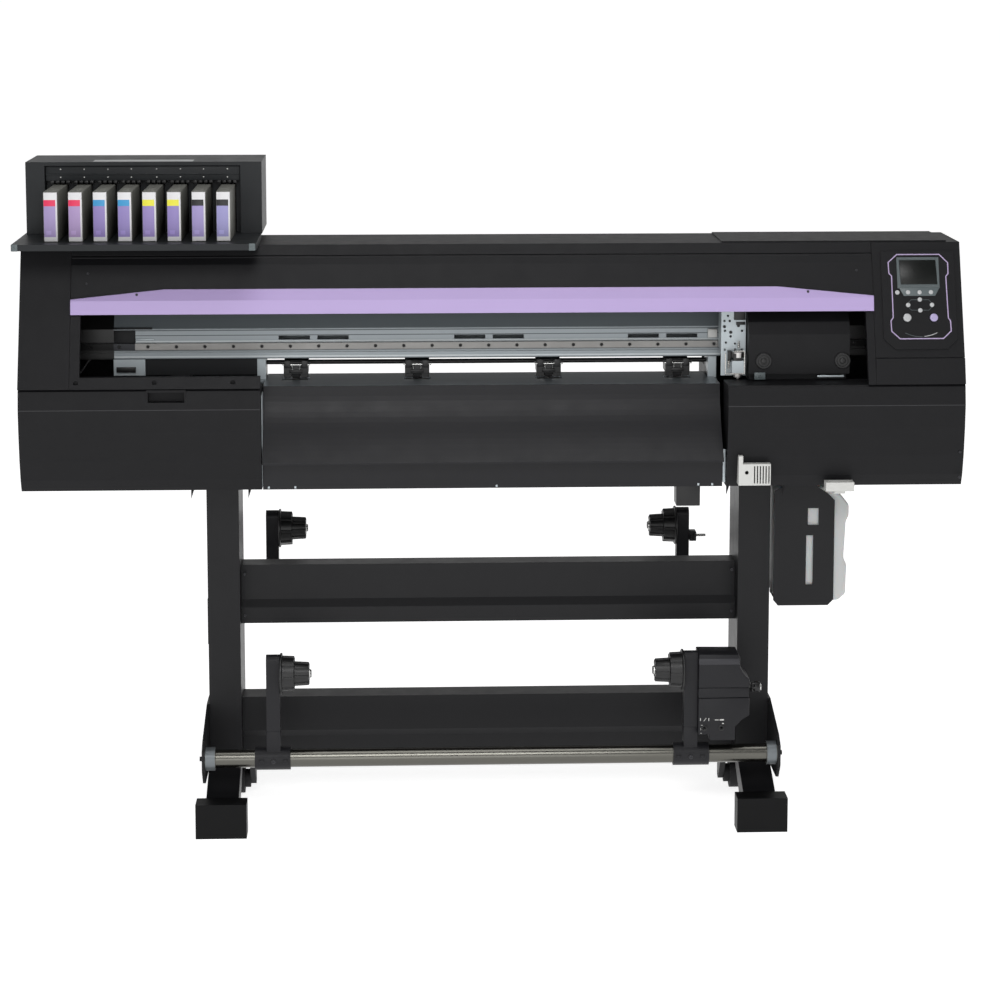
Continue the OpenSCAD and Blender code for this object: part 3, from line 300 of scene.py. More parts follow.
# The lower covers' lighter line at the fold, 895 to 896.6 mm up, is a painted highlight where the crease
# catches light.
lower_black = finish("lower_black", tone(18, 18, 20), 0.52, shine=0.17, grain=1400, depth=0.16,
                     marks=[((-1000, -320, 895), (1000, -240, 896.6), tone(52, 52, 54))])
stand_satin = finish("stand_satin", tone(20, 20, 22), 0.42, shine=0.20, grain=700, depth=0.05)
frame_dark = finish("frame_dark", tone(26, 27, 29), 0.48, shine=0.18, grain=600, depth=0.06)
foot_black = finish("foot_black", tone(11, 11, 12), 0.46, shine=0.12, grain=900, depth=0.10)
guide_satin = finish("guide_satin", tone(22, 22, 25), 0.40, shine=0.22, grain=800, depth=0.05)
ink_charcoal = finish("ink_charcoal", tone(33, 35, 37), 0.45, shine=0.2, grain=800, depth=0.08,
                      marks=[((-838, -84, 1391), (-628, -40, 1393), tone(168, 170, 170))])
roll_steel = finish("roll_steel", tone(92, 91, 86), 0.24, metal=1.0, grain=500, depth=0.04,
                    drift=0.06, stretch=(0.03, 1, 1), edge_wear_and_highlight=0.1)
ground_steel = finish("ground_steel", tone(176, 174, 172), 0.30, metal=1.0, grain=900,
                      depth=0.06, stretch=(0.04, 1, 1), edge_wear_and_highlight=0.1)
# The bar's bands are painted light: the dark lines are painted shade in its grooves, the light lines
# painted highlights on its ridges, and the wide band at its top is painted darker. Both ends are painted
# near black as painted shade.
bar_groove_shade, bar_ridge_highlight, end_shade_black = tone(70, 76, 80), tone(176, 182, 184), tone(3, 3, 3)
bar_shade_and_highlight_bands = [((-1000, -200, z0), (1000, -60, z1), tint) for z0, z1, tint in (
    (1040.5, 1101, tone(104, 111, 115)), (1035, 1037.4, bar_groove_shade), (1024.6, 1026.4, bar_groove_shade),
    (1011, 1014, bar_ridge_highlight), (993, 995.4, bar_groove_shade), (979, 982, bar_ridge_highlight), (974, 977, bar_groove_shade))]
bar_end_shade = [((-1000, -200, 900), (-797, 60, 1200), end_shade_black), ((752, -200, 900), (1000, 60, 1200), end_shade_black)]
bar_grey = finish("bar_grey", tone(136, 143, 147), 0.38, metal=0.25, grain=900, depth=0.05,
                  drift=0.04, stretch=(0.05, 1, 1), edge_wear_and_highlight=0.2, marks=bar_shade_and_highlight_bands + bar_end_shade)
rail_ground = finish("rail_ground", tone(118, 117, 115), 0.36, metal=0.7, grain=700, depth=0.12,
                     drift=0.16, patch=22, stretch=(0.12, 1, 1), edge_wear_and_highlight=0.1,
                     marks=[((-797, -200, 900), (-752, 60, 1200), tone(38, 39, 42))] + bar_end_shade)
platen_grey = finish("platen_grey", tone(120, 126, 130), 0.36, metal=0.5, grain=700,
                     depth=0.05, stretch=(0.05, 1, 1), edge_wear_and_highlight=0.2)
bracket_grey = finish("bracket_grey", tone(168, 176, 180), 0.40, metal=0.3, grain=900,
                      depth=0.05, drift=0.06)
lip_lavender = finish("lip_lavender", tone(166, 148, 192), 0.36, shine=0.4, grain=1500,
                      depth=0.04, drift=0.03, edge_wear_and_highlight=0.08)
line_lavender = finish("line_lavender", tone(168, 152, 186), 0.35, shine=0.4, drift=0.05, edge_wear_and_highlight=0.1)
arm_dark = finish("arm_dark", tone(25, 25, 28), 0.44, shine=0.22, grain=1000, depth=0.10)
cone_black = finish("cone_black", tone(17, 17, 18), 0.38, shine=0.4, grain=1200, depth=0.08)
pinch_black = finish("pinch_black", tone(16, 16, 17), 0.40, shine=0.4, grain=1000, depth=0.08)
rubber_grey = finish("rubber_grey", tone(34, 34, 35), 0.72, shine=0.2, grain=1600, depth=0.25)
white_plastic = finish("white_plastic", tone(190, 190, 187), 0.42, shine=0.4, grain=1300,
                       depth=0.05, drift=0.04, edge_wear_and_highlight=0.05)
key_silver = finish("key_silver", tone(172, 173, 174), 0.34, shine=0.5, grain=1500, depth=0.03,
                    drift=0.04, edge_wear_and_highlight=0.05)
key_lilac = finish("key_lilac", tone(160, 150, 186), 0.34, shine=0.5, grain=1500, depth=0.03,
                   drift=0.04, edge_wear_and_highlight=0.05)
screen_dark = finish("screen_dark", tone(15, 17, 16), 0.30, shine=0.25, grain=200, depth=0.01,
                     drift=0.2, patch=30, edge_wear_and_highlight=0.0)
bezel_grey = finish("bezel_grey", tone(82, 90, 92), 0.40, shine=0.4, drift=0.06)
collar_grey = finish("collar_grey", tone(104, 109, 112), 0.42, metal=0.6, grain=900, depth=0.08,
                     stretch=(0.1, 1, 1))
motor_top_highlight = finish("motor_top_highlight", tone(44, 44, 48), 0.40, shine=0.3, grain=1000, depth=0.08)
screw_dark = finish("screw_dark", tone(52, 52, 55), 0.32, metal=0.7, grain=1200, depth=0.05)
screw_bright = finish("screw_bright", tone(190, 190, 188), 0.26, metal=1.0, grain=900, depth=0.05)
wire_bright = finish("wire_bright", tone(205, 202, 196), 0.24, metal=0.9, grain=900, depth=0.04)
milky = finish("milky", tone(176, 178, 178), 0.35, shine=0.4, grain=300, depth=0.04, drift=0.06,
               edge_wear_and_highlight=0.1)
milky.node_tree.nodes["Principled BSDF"].inputs["Subsurface Weight"].default_value = 0.25
milky.node_tree.nodes["Principled BSDF"].inputs["Subsurface Scale"].default_value = 0.01
print(len(bpy.data.materials), "materials")

# %% [markdown]
# ### Painting the frame's solids
# A solid of the frame whose shape is already right keeps it and only gets its finish.
# Where one solid is painted in two colours, the faces inside a box take the second one.

# %% Give every node its finish
def paint(material, *names):
    for name in names:
        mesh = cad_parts[name].data
        mesh.materials.clear()
        mesh.materials.append(material)


def paint_within(name, material, lo, hi):
    """Faces of a node whose middle lies in a box, in millimetres."""
    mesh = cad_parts[name].data
    if material.name not in mesh.materials:
        mesh.materials.append(material)
    index = mesh.materials.find(material.name)
    done = 0
    for face in mesh.polygons:
        middle = face.center * 1000
        if all(a <= c <= b for a, c, b in zip(lo, middle, hi)):
            face.material_index = index
            done += 1
    print(name, done, "faces take", material.name)


ink_names = [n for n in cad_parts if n.startswith("cartridge_")]
paint(stand_satin, "legs", "feet", "stand_beams", "bottle_bracket", "castor_fork_left",
      "castor_fork_right")
paint(frame_dark, "base_frame", "maintenance_unit", "carriage_base")
paint(foot_black, "foot_caps")
paint(roll_steel, "roll_tubes")
paint(cover_black, "side_cover_left", "side_cover_right", "panel_cover", "rear_cover",
      "front_cover", "carriage_cover")
paint(lower_black, "lower_cover_left", "lower_cover_right")
paint(guide_satin, "front_guide")
paint(platen_grey, "platen")
paint(bar_grey, "y_bar")
paint(rail_ground, "linear_rail")
paint(ground_steel, "feed_roller", "tool_holder")
paint(ink_charcoal, "ink_box", "ink_shelf")
paint(bezel_grey, "display")
paint(lip_lavender, "cover_lip")
paint(bracket_grey, "cutter_carriage")
paint(pinch_black, "pinch_arms")
paint(rubber_grey, "pinch_wheels", "castor_wheel_left", "castor_wheel_right")
paint(white_plastic, "clamp_lever")
paint(milky, "waste_bottle")
paint(arm_dark, "takeup_arm_left", "takeup_arm_right", "supply_arm_left", "supply_arm_right",
      "takeup_motor")
paint(cone_black, "takeup_cone_left", "takeup_cone_right", "supply_cone_left",
      "supply_cone_right", "motor_knob", "motor_switches")
paint(key_silver, "select_key", "soft_keys", "jog_pad", "enter_key")
paint(key_lilac, "power_key")
paint(bezel_grey, *ink_names)

paint_within("roll_tubes", stand_satin, (-620, -400, 90), (-604, 400, 500))
paint_within("roll_tubes", stand_satin, (595, -400, 90), (620, 400, 500))
paint_within("base_frame", bracket_grey, (-497, -113, 935), (-477, -40, 980))
paint_within("base_frame", bracket_grey, (463, -113, 935), (483, -40, 980))
paint_within("base_frame", lower_black, (-1000, -210, 700), (1000, 170, 726))
paint_within("base_frame", lower_black, (-1000, 155, 700), (1000, 170, 940))
paint_within("base_frame", lower_black, (-980, -210, 700), (-974.9, 170, 940))
paint_within("base_frame", lower_black, (979, -210, 700), (984, 170, 940))
paint_within("maintenance_unit", bracket_grey, (-800, -120, 938), (-732, -40, 980))
paint_within("lower_cover_right", white_plastic, (505, -302, 728), (580, -262.5, 795))

# %% [markdown]
# ## Modelling by hand
# New pieces start as a cube, a disc or a filled outline at the right place. Edit mode then
# shapes them: a cube's edges are bevelled, a disc is drawn out step by step into a turned
# part, and an outline is drawn out into a plate. These few moves make every small piece.

# %% Small tools
def mm(*values):
    """Millimetres to metres."""
    return Vector(values) / 1000


def clear():
    bpy.ops.object.select_all(action="DESELECT")


def edit():
    bpy.ops.object.mode_set(mode="EDIT")
    bpy.ops.mesh.select_all(action="SELECT")


def leave():
    """Back to object mode, with the faces turned outwards and the place in the mesh."""
    bpy.ops.mesh.select_all(action="SELECT")
    bpy.ops.mesh.normals_make_consistent(inside=False)
    bpy.ops.object.mode_set(mode="OBJECT")
    bpy.ops.object.transform_apply(location=True, rotation=True, scale=True)
    return bpy.context.object


print("tools for object mode and edit mode")

# %% [markdown]
# ### Blocks
# A cube scaled to size has sharp edges that no machine part has. Bevelling all of them in
# edit mode, with clamped overlap for thin plates, gives each one its small rounded edge.

# %% A bevelled block
def block(lo, hi, edge=1.0, steps=2):
    """A bevelled block between two corners, in millimetres."""
    lo, hi = mm(*lo), mm(*hi)
    clear()
    bpy.ops.mesh.primitive_cube_add(size=1, location=(lo + hi) / 2)
    bpy.context.object.scale = hi - lo
    bpy.ops.object.transform_apply(location=True, rotation=True, scale=True)
    edit()
    bpy.ops.mesh.bevel(offset=edge / 1000, segments=steps, affect="EDGES", clamp_overlap=True)
    return leave()


print("block: cube, then bevel")

# %% [markdown]
# ### Turned parts
# Knobs, keys, screws and cones are round. A filled circle is drawn out along its axis step
# by step, and each new ring is scaled to the next radius, like a lathe working down a bar.

# %% A turned part
def turned(at, along, profile, sides=32):
    """A turned piece: (distance, radius) steps along an axis, in millimetres."""
    at, axis = mm(*at), Vector(along).normalized()
    clear()
    far, radius = profile[0]
    bpy.ops.mesh.primitive_circle_add(
        vertices=sides, radius=radius / 1000, fill_type="NGON",
        location=at + axis * far / 1000, rotation=axis.to_track_quat("Z", "Y").to_euler())
    bpy.ops.object.transform_apply(location=True, rotation=True, scale=True)
    edit()
    for next_far, next_radius in profile[1:]:
        step = axis * (next_far - far) / 1000
        bpy.ops.mesh.extrude_region_move(TRANSFORM_OT_translate={"value": step})
        grow = next_radius / radius
        bpy.ops.transform.resize(value=(grow,) * 3, center_override=at + axis * next_far / 1000)
        far, radius = next_far, next_radius
    return leave()


print("turned: circle, then extrude and scale")

# %% [markdown]
# ### Plates and lines
# Sheet parts and printed lines follow an outline. The corners of a filled circle are moved
# to the outline's points. Drawn out it is a plate, and inset with its middle taken out it is
# a line of even width.

# %% Plates and rings
def outline(points):
    """A filled outline through points in metres, in edit mode with all of it selected."""
    clear()
    bpy.ops.mesh.primitive_circle_add(vertices=len(points), fill_type="NGON")
    for corner, point in zip(bpy.context.object.data.vertices, points):
        corner.co = point
    edit()


def plate(points, along, edge=0.0, steps=2):
    """An outline drawn out along a vector, both in metres; edge in millimetres."""
    outline(points)
    bpy.ops.mesh.extrude_region_move(TRANSFORM_OT_translate={"value": along})
    bpy.ops.mesh.select_all(action="SELECT")
    bpy.ops.mesh.normals_make_consistent(inside=False)
    if edge:
        bpy.ops.mesh.bevel(offset=edge / 1000, segments=steps, affect="EDGES", clamp_overlap=True)
    return leave()


def ring(points, width, along):
    """A raised line round an outline: inset, the middle taken out, drawn out."""
    outline(points)
    bpy.ops.mesh.inset(thickness=width / 1000, use_even_offset=True)
    bpy.ops.mesh.delete(type="FACE")
    bpy.ops.mesh.select_all(action="SELECT")
    bpy.ops.mesh.extrude_region_move(TRANSFORM_OT_translate={"value": along})
    return leave()


print("plate and ring: outline, then extrude")

# %% [markdown]
# ### Copies, screws and finished pieces
# A repeated part is modelled once and duplicated, each copy with its own mesh. A finished
# piece is joined, named, given its finish, smoothed by angle, and tied to the body that
# carries it, so that it moves with its joint.

# %% Copies and finished pieces
def copies(part, moves):
    """The part, and a copy of it with its own mesh at each move, in millimetres."""
    made = [part]
    for move in moves:
        clear()
        part.select_set(True)
        bpy.context.view_layer.objects.active = part
        bpy.ops.object.duplicate(linked=False)
        bpy.ops.transform.translate(value=mm(*move))
        bpy.ops.object.transform_apply(location=True, rotation=True, scale=True)
        made.append(bpy.context.object)
    return made


def keep(parts, name, material, body, replaced=(), angle=32):
    """Joins parts into one named piece that rides on a body and wears a finish."""
    clear()
    for part in parts:
        part.select_set(True)
    bpy.context.view_layer.objects.active = parts[0]
    if len(parts) > 1:
        bpy.ops.object.join()
    piece = bpy.context.object
    piece.name = piece.data.name = name
    piece.data.materials.clear()
    piece.data.materials.append(material)
    bpy.ops.object.shade_smooth_by_angle(angle=math.radians(angle))
    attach(piece, body)
    if replaced:
        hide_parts(*replaced)
    print(name, len(piece.data.polygons), "faces on", body)
    return piece


def screw(at, along, radius=3.0):
    """A socket screw: a flat head with its rim rounded and a round socket."""
    r = radius
    return turned(at, along, [(-0.4, r), (0.45 * r, r), (0.6 * r, 0.86 * r), (0.6 * r, 0.5 * r),
                              (0.2 * r, 0.45 * r)], 18)


FRONT, RIGHT, LEFT, UP = (0, -1, 0), (1, 0, 0), (-1, 0, 0), (0, 0, 1)
print("screws face", FRONT, LEFT, RIGHT)

# %% [markdown]
# ## Control panel
# The panel leans back with the machine's front. A lavender line frames a small display, a
# strip with three keys, four keys for moving the carriage, and two larger keys. Real ones
# are printed film over domed caps. The line is a thin raised ring, so it catches light.

# %% Places on the leaning face
FACE_DEPTH, FACE_HEIGHT = 102, 287
FACE_FOOT_Y, FACE_FOOT_Z = -292, 939
PANEL_STANDS_OUT = 4
LEAN = math.atan(FACE_DEPTH / FACE_HEIGHT)
SEAM = Vector((0, FACE_FOOT_Y - PANEL_STANDS_OUT, FACE_FOOT_Z)) / 1000
UP_FACE = Vector((0, math.sin(LEAN), math.cos(LEAN)))
OUT = Vector((0, -math.cos(LEAN), math.sin(LEAN)))


def face(x, v, out=0.0):
    """A point on the panel: x, height up the face and distance out of it, in millimetres."""
    return SEAM + Vector((x / 1000, 0, 0)) + UP_FACE * v / 1000 + OUT * out / 1000


def face_y(z):
    """Where the leaning front stands at a height, in millimetres."""
    return FACE_FOOT_Y + (z - FACE_FOOT_Z) * FACE_DEPTH / FACE_HEIGHT


print("the face leans back", round(math.degrees(LEAN), 1), "degrees")

# %% [markdown]
# The line could be painted, but it stands out a little on the real panel, so it is a ring
# with its own edge. Its notches are corners of the outline, near a quarter and three
# quarters of its height.

# %% The lavender line
panel_line = [
    (847.7, 279.2), (938, 279.2), (955.8, 260.7), (955.7, 236.1), (950.7, 230.7), (951.9, 142.3),
    (956.1, 136), (956.6, 113.8), (939.3, 97.3), (847.5, 96.9), (829.7, 113.8), (828.9, 137),
    (834, 143.4), (834.2, 231.8), (829, 237.1), (828.2, 261.8)]
line = ring([face(x, v, -0.2) for x, v in panel_line], 2.2, OUT * 0.0008)
keep([line], "panel_line", line_lavender, "stand")

# %% [markdown]
# The display is a dark, slightly glossy window with a grey frame that widens below into
# the strip for three keys. Window, frame and strip are three thin plates.

# %% Display, bezel and key strip
glass = plate([face(x, v, 0.4) for x, v in ((854, 214), (931, 214), (929, 266), (852, 266))],
              OUT * 0.0012, 0.4)
keep([glass], "display_glass", screen_dark, "stand")
bezel = ring([face(x, v, 0.4) for x, v in ((851, 209), (934, 209), (932, 271), (847, 271))],
             2.4, OUT * 0.0014)
strip = plate([face(x, v, -0.2) for x, v in ((850, 207), (935, 207), (925.5, 189.5), (859.5, 189.5))],
              OUT * 0.0008, 0.2)
keep([bezel, strip], "display_bezel", bezel_grey, "stand")

# %% [markdown]
# A key is a short round rod with a domed end. It passes through a hole in the panel and
# replaces the plain key of the frame, so that pressing the joint moves it.

# %% Domed key caps
PANEL_MIDDLE, STRIP_UP, JOG_UP, ROUND_UP = 892.6, 197, 170, 143
SMALL_KEY, ROUND_KEY = 4.6, 8.4


def cap(x, v, radius):
    """A key: a shaft through the panel with a domed top."""
    return turned(face(x, v) * 1000, OUT, [
        (-9, radius), (1.0, radius), (1.6, radius * 0.92), (1.9, radius * 0.72), (2.0, radius * 0.4)])


keep([cap(846, STRIP_UP, SMALL_KEY)], "select_cap", key_silver, "key_select", ["select_key"])
keep([cap(x, STRIP_UP, SMALL_KEY) for x in (868.4, PANEL_MIDDLE, 916.6)], "soft_caps", key_silver,
     "key_soft", ["soft_keys"])
keep([cap(PANEL_MIDDLE + dx, JOG_UP + dv, SMALL_KEY)
      for dx, dv in ((0, 11.5), (0, -11.5), (25, 0), (-25, 0))],
     "jog_caps", key_silver, "key_jog", ["jog_pad"])
keep([cap(864.7, ROUND_UP, ROUND_KEY)], "enter_cap", key_silver, "key_enter", ["enter_key"])
keep([cap(920.7, ROUND_UP, ROUND_KEY)], "power_cap", key_lilac, "key_power", ["power_key"])

# %% [markdown]
# A thin loop joins the four arrow keys, and a curved line closes the panel below. Both
# are only a third of a millimetre thick, as ink on film would be.

# %% Fine printed lines on the panel
loop = [(dx * s, dv * t) for s, t in ((1, 1), (-1, 1), (-1, -1), (1, -1))
        for dx, dv in (((24, 6), (18.5, 11.5)) if s * t > 0 else ((18.5, 11.5), (24, 6)))]
ARC_UP = 176
jog_line = ring([face(PANEL_MIDDLE + x, JOG_UP + v, -0.1) for x, v in loop], 0.8, OUT * 0.0003)


def arc(start, end, radius, width, steps=14):
    """A curved line on the panel, as an outline between two angles."""
    turn = [math.radians(start + (end - start) * i / steps) for i in range(steps + 1)]
    within = radius - width
    outer = [(PANEL_MIDDLE + radius * math.cos(a), ARC_UP + radius * math.sin(a)) for a in turn]
    inner = [(PANEL_MIDDLE + within * math.cos(a), ARC_UP + within * math.sin(a))
             for a in reversed(turn)]
    return plate([face(x, v, -0.1) for x, v in outer + inner], OUT * 0.0003)


keep([jog_line, arc(-117, -88, 74, 0.9)], "panel_thin_lines", bezel_grey, "stand")
keep([arc(-85, -63, 74, 1.6)], "panel_silver_arc", key_silver, "stand")

# %% [markdown]
# ## Ink cartridges
# Eight flat bottles of ink stand in their slots and slide out to the front. Each is a grey
# moulded case with a printed label: white, a band in the ink's colour, and a tinted field.
# A loop makes each case at its own box in the frame, so that it fills its slot, and the
# label's areas are laid down in the material.

# %% The inks
inks = [("magenta", tone(208, 44, 84), tone(150, 134, 178)),
        ("magenta_two", tone(208, 44, 84), tone(156, 134, 176)),
        ("cyan", tone(52, 136, 186), tone(132, 116, 172)),
        ("cyan_two", tone(52, 138, 186), tone(134, 120, 174)),
        ("yellow", tone(214, 208, 60), tone(138, 122, 176)),
        ("yellow_two", tone(214, 208, 60), tone(134, 120, 174)),
        ("black", tone(22, 22, 24), tone(146, 134, 182)),
        ("black_two", tone(22, 22, 24), tone(142, 138, 184))]
case_grey = finish("case_grey", tone(104, 104, 99), 0.5, shine=0.3, grain=1200, depth=0.12)
print(len(inks), "inks from", inks[0][0], "to", inks[-1][0])

# %% [markdown]
# The case is a bevelled block with three ribs on top for the fingers. The label is a thin
# plate on its front. It stops short of the right edge, where the white shows.

# %% Cases, grips and labels
for number, (tint, band, field) in enumerate(inks, 1):
    low, high = [c * 1000 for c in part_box("cartridge_%d" % number)]
    mid = (low.x + high.x) / 2
    body = "ink_%d" % number
    case = block(low, high, 1.6)
    ribs = copies(block((mid - 9, low.y + 16, high.z - 1), (mid + 9, low.y + 26, high.z + 1.2), 0.8),
                  [(0, 22, 0), (0, 44, 0)])
    keep([case] + ribs, "case_" + tint, case_grey, body, ["cartridge_%d" % number])
    left, right, top = low.x + 0.8, high.x - 0.8, high.z
    label_ink = finish("label_" + tint, tone(205, 204, 206), 0.35, shine=0.4, drift=0.03, edge_wear_and_highlight=0.0, marks=[
        ((left, -300, top - 29.5), (right - 3.4, -200, top - 16.6), band),
        ((left, -300, top - 93), (right - 3.4, -200, top - 29.5), field),
        ((mid - 9, -300, top - 88), (mid + 1, -200, top - 80), [c * 1.25 for c in field])])
    label = block((left, low.y - 0.4, low.z + 1.2), (right, low.y + 0.4, top - 1.2), 0.3)
    keep([label], "label_" + tint, label_ink, body)

# %% [markdown]
# ## Ink box front
# Inside the box's mouth a bar carries a pair of lamps over each cartridge, and a row of
# small dark blocks behind it is painted shade in the wells there. The shelf's ends are closed by small
# folded brackets.

# %% Lamp bar, seals and brackets
lamp_bar = block((-937, -91, 1352), (-529, -70, 1383), 1.5)
ledge = block((-937, -93, 1364.5), (-529, -90, 1367), 0.6)
keep([lamp_bar, ledge], "lamp_bar", ink_charcoal, "stand")
lamp_x = [-905, -855.6, -805.9, -756.7, -703.8, -653.9, -605.1, -555.2]
lamps = [turned((x, -91, z), FRONT, [(-0.5, 1.5), (0.8, 1.5), (1.4, 0.8)], 12)
         for x in lamp_x for z in (1376.5, 1359.5)]
keep(lamps, "slot_lamps", white_plastic, "stand")
# Dark blocks in the wells: painted shade.
wells = [block((x - 22 + k * 11, -90, 1346), (x - 14 + k * 11, -76, 1352.5), 0.8)
         for x in lamp_x for k in range(4)]
keep(wells, "slot_well_shade", pinch_black, "stand")
tabs = [block((x, -301, 1226.5), (x + 13, -297, 1241), 0.8) for x in (-982, -500)]
keep(tabs + [screw((x, -300.6, 1234), FRONT, 2.4) for x in (-975.5, -493.5)],
     "shelf_brackets", bezel_grey, "stand")

# %% [markdown]
# ## Covers
# Small screws hold the lip to the front cover. The lower covers are folded along a line
# near the top, and each corner ends in a screwed tab.

# %% Screws on the covers
lean_out = (0, -math.cos(LEAN), math.sin(LEAN))
lip_screws = [screw((x, face_y(1127.6) - 8.2, 1127.6), lean_out, 2.8) for x in (-736, 658)]
cover_screws = [screw((x, face_y(z) - 4.2, z), lean_out, 2.4)
                for x, z in ((-838, 1170), (-840, 1150), (762, 1170))]
keep(lip_screws + cover_screws, "cover_screws", screw_dark, "front_cover")
lower_screws = [screw((974, -284.5, z), FRONT, 2.8) for z in (795, 742)]
keep(lower_screws, "right_cover_screws", screw_dark, "stand")

# %% [markdown]
# ## Bar, brackets and sensor box
# The carriage runs along an extruded bar with a ground rail. Folded brackets at its left
# end hold the belt, and a white block by the parking place guides the media's edge.

# %% Bar fittings
fittings = [block((-797, -121.3, 996), (-752, -118.3, 1037), 0.8),
            block((-797, -121.3, 1039), (-716, -118.3, 1043), 0.8)]
keep(fittings, "bar_end_bracket", frame_dark, "stand")
belt_ends = [block((-751, -121.3, 1015.5), (-712, -118.3, 1019.5), 0.8)]
keep(belt_ends, "belt_ends", bracket_grey, "stand")
edge_block = block((462, -126, 1016), (482, -118.5, 1034), 1.2)
keep([edge_block], "edge_block", white_plastic, "stand")
rail_screws = copies(turned((-785, -125, 1003), FRONT, [(-2, 3.3), (0.4, 3.3), (0.4, 1.7), (-1, 1.5)], 14),
                     [(60 * k, 0, 0) for k in range(1, 27)])
keep(rail_screws, "rail_screws", pinch_black, "stand")
# A dark plate on the bracket is painted shade in its slot.
slot_shade_plate = block((-793, -123, 947), (-752, -120.5, 959), 0.8)
keep([slot_shade_plate], "bracket_slot_shade", pinch_black, "stand")

# %% [markdown]
# ## Carriage
# A cover hides the print heads. Two large thumb screws hold it, and a clip with a screw
# sits under its left end.

# %% Thumb screws and clip
knobs = [turned((x, -221.5, 980), FRONT, [(0, 17), (3.5, 17), (4.6, 15.6), (4.6, 12.4), (2.2, 11.6),
                                          (2.4, 6.4), (5.2, 6.0), (5.8, 4.4)], 40)
         for x in (568.6, 734.6)]
keep(knobs, "carriage_thumb_screws", pinch_black, "carriage")
clip = block((549, -227, 941), (572, -219, 956), 1.0)
keep([clip, screw((560.5, -227, 948.5), FRONT, 3.2)], "carriage_clip", bezel_grey, "carriage")
label_strip = block((682, -223.2, 945), (738, -222, 949), 0.4)
keep([label_strip], "carriage_strip", bracket_grey, "carriage")

# %% [markdown]
# ## Cutter carriage
# The knife's carriage is an open metal plate full of holes, springs and levers, with a
# bent wire guard in front. The plate is in the frame. The loose parts are made here.

# %% Plate parts
plate_screws = [screw((cx, -186, cz), FRONT, r) for cx, cz, r in (
    (489.5, 1060, 2.4), (500.5, 1060, 2.4), (489.5, 1048, 3.2), (519, 1050, 3.2), (503, 1036, 3.4),
    (493, 1014, 2.4), (512, 1012, 2.2))]
dark_parts = [block((509.5, -188, 1062), (534, -186.2, 1088), 0.5),
              block((514, -190, 1052), (533, -186.2, 1058), 0.6),
              block((506, -212, 958), (524, -187, 994), 1.0),
              block((496, -200, 975), (504, -187, 998), 0.8)]
keep(plate_screws + dark_parts, "cutter_dark_parts", pinch_black, "carriage")


def rod(start, end, radius, sides=10):
    """A round wire between two points, in millimetres."""
    start, end = Vector(start), Vector(end)
    return turned(start, end - start, [(0, radius), ((end - start).length, radius)], sides)


guard = [(489, -216, 995), (489, -216, 952), (529, -216, 952), (529, -216, 1000), (507, -216, 1000)]
wires = [rod(a, b, 1.0) for a, b in zip(guard, guard[1:])]
bead = [(0, 0.5), (0.4, 1.0), (1.8, 1.0), (2.2, 0.5)]
corners = [turned(Vector(p) - Vector((1.1, 0, 0)), RIGHT, bead, 10) for p in guard]
coil = [turned((497, -205, 962 + k * 3), UP, [(0, 3.4), (0.8, 4.0), (1.6, 3.4)], 16) for k in range(6)]
coil += [turned((519, -196, 1004 + k * 2.6), UP, [(0, 2.4), (0.7, 3.0), (1.4, 2.4)], 14) for k in range(6)]
keep(wires + corners + coil, "cutter_guard_and_springs", wire_bright, "carriage")

# %% [markdown]
# ## Pinch roller heads
# Each head presses a rubber wheel on the vinyl. Two stamped tabs, a steel cross pin and a
# pair of springs show over the block that the frame already has.

# %% Four heads
heads, pins = [], []
for x in (-414, -157, 123, 398):
    heads += [block((x + s * 18 - 7, -126, 955), (x + s * 18 + 7, -121, 971), 1.2) for s in (-1, 1)]
    heads += [block((x - 14, -125, 944), (x + 14, -121, 951), 1.0)]
    pins += [rod((x - 30, -124, 962), (x + 30, -124, 962), 1.6, 12)]
    pins += [turned((x + s * 8, -123, 952 + k * 2), UP, [(0, 2.2), (0.6, 2.7), (1.2, 2.2)], 12)
             for s in (-1, 1) for k in range(4)]
keep(heads, "pinch_tabs", pinch_black, "pinch")
keep(pins, "pinch_pins_and_springs", screw_bright, "pinch")

# %% [markdown]
# ## Core holders
# A stepped cone takes paper cores of two bores. It is a ribbed moulding: a flange, six
# fins that end at the two core sizes, and a lighter hub that turns on the spindle. One
# function turns and fins a holder, and it is called once for each of the four arms.

# %% One core holder, four times
def fin(angle, x0, x1, y, z, side):
    """One fin of a holder, from the hub out to the two core sizes."""
    clear()
    flat = [(5, 6), (5, 38.6), (30.5, 37.4), (31, 26), (60, 24.4), (61.5, 22), (61.5, 6)]
    points = [mm(x0 + side * a, y - 2.6, z + b) for a, b in flat]
    made = plate(points, mm(0, 5.2, 0), 0.6, 1)
    made.select_set(True)
    bpy.ops.transform.rotate(value=-math.radians(angle), orient_axis="X",
                             center_override=mm(x0, y, z))
    bpy.ops.object.transform_apply(location=True, rotation=True, scale=True)
    return bpy.context.object


def core_holder(name, node, body, x0, side, y, z):
    along = (side, 0, 0)
    spun = turned((x0 + side * 0.5, y, z), along, [
        (0, 41), (1.2, 43.4), (4, 43.4), (5, 42), (5.4, 36.4), (29.8, 34.6), (30.4, 24), (60, 21.6),
        (61, 14)], 48)
    fins = [fin(a, x0 + side * 0.3, 0, y, z, side) for a in range(0, 360, 45)]
    keep([spun] + fins, name, cone_black, body, [node])
    hub = turned((x0 + side * 0.5, y, z), along, [(60, 9.5), (63.4, 9.0), (64.6, 7.6), (65.4, 4.0)], 28)
    keep([hub], name + "_hub", screw_bright, body)


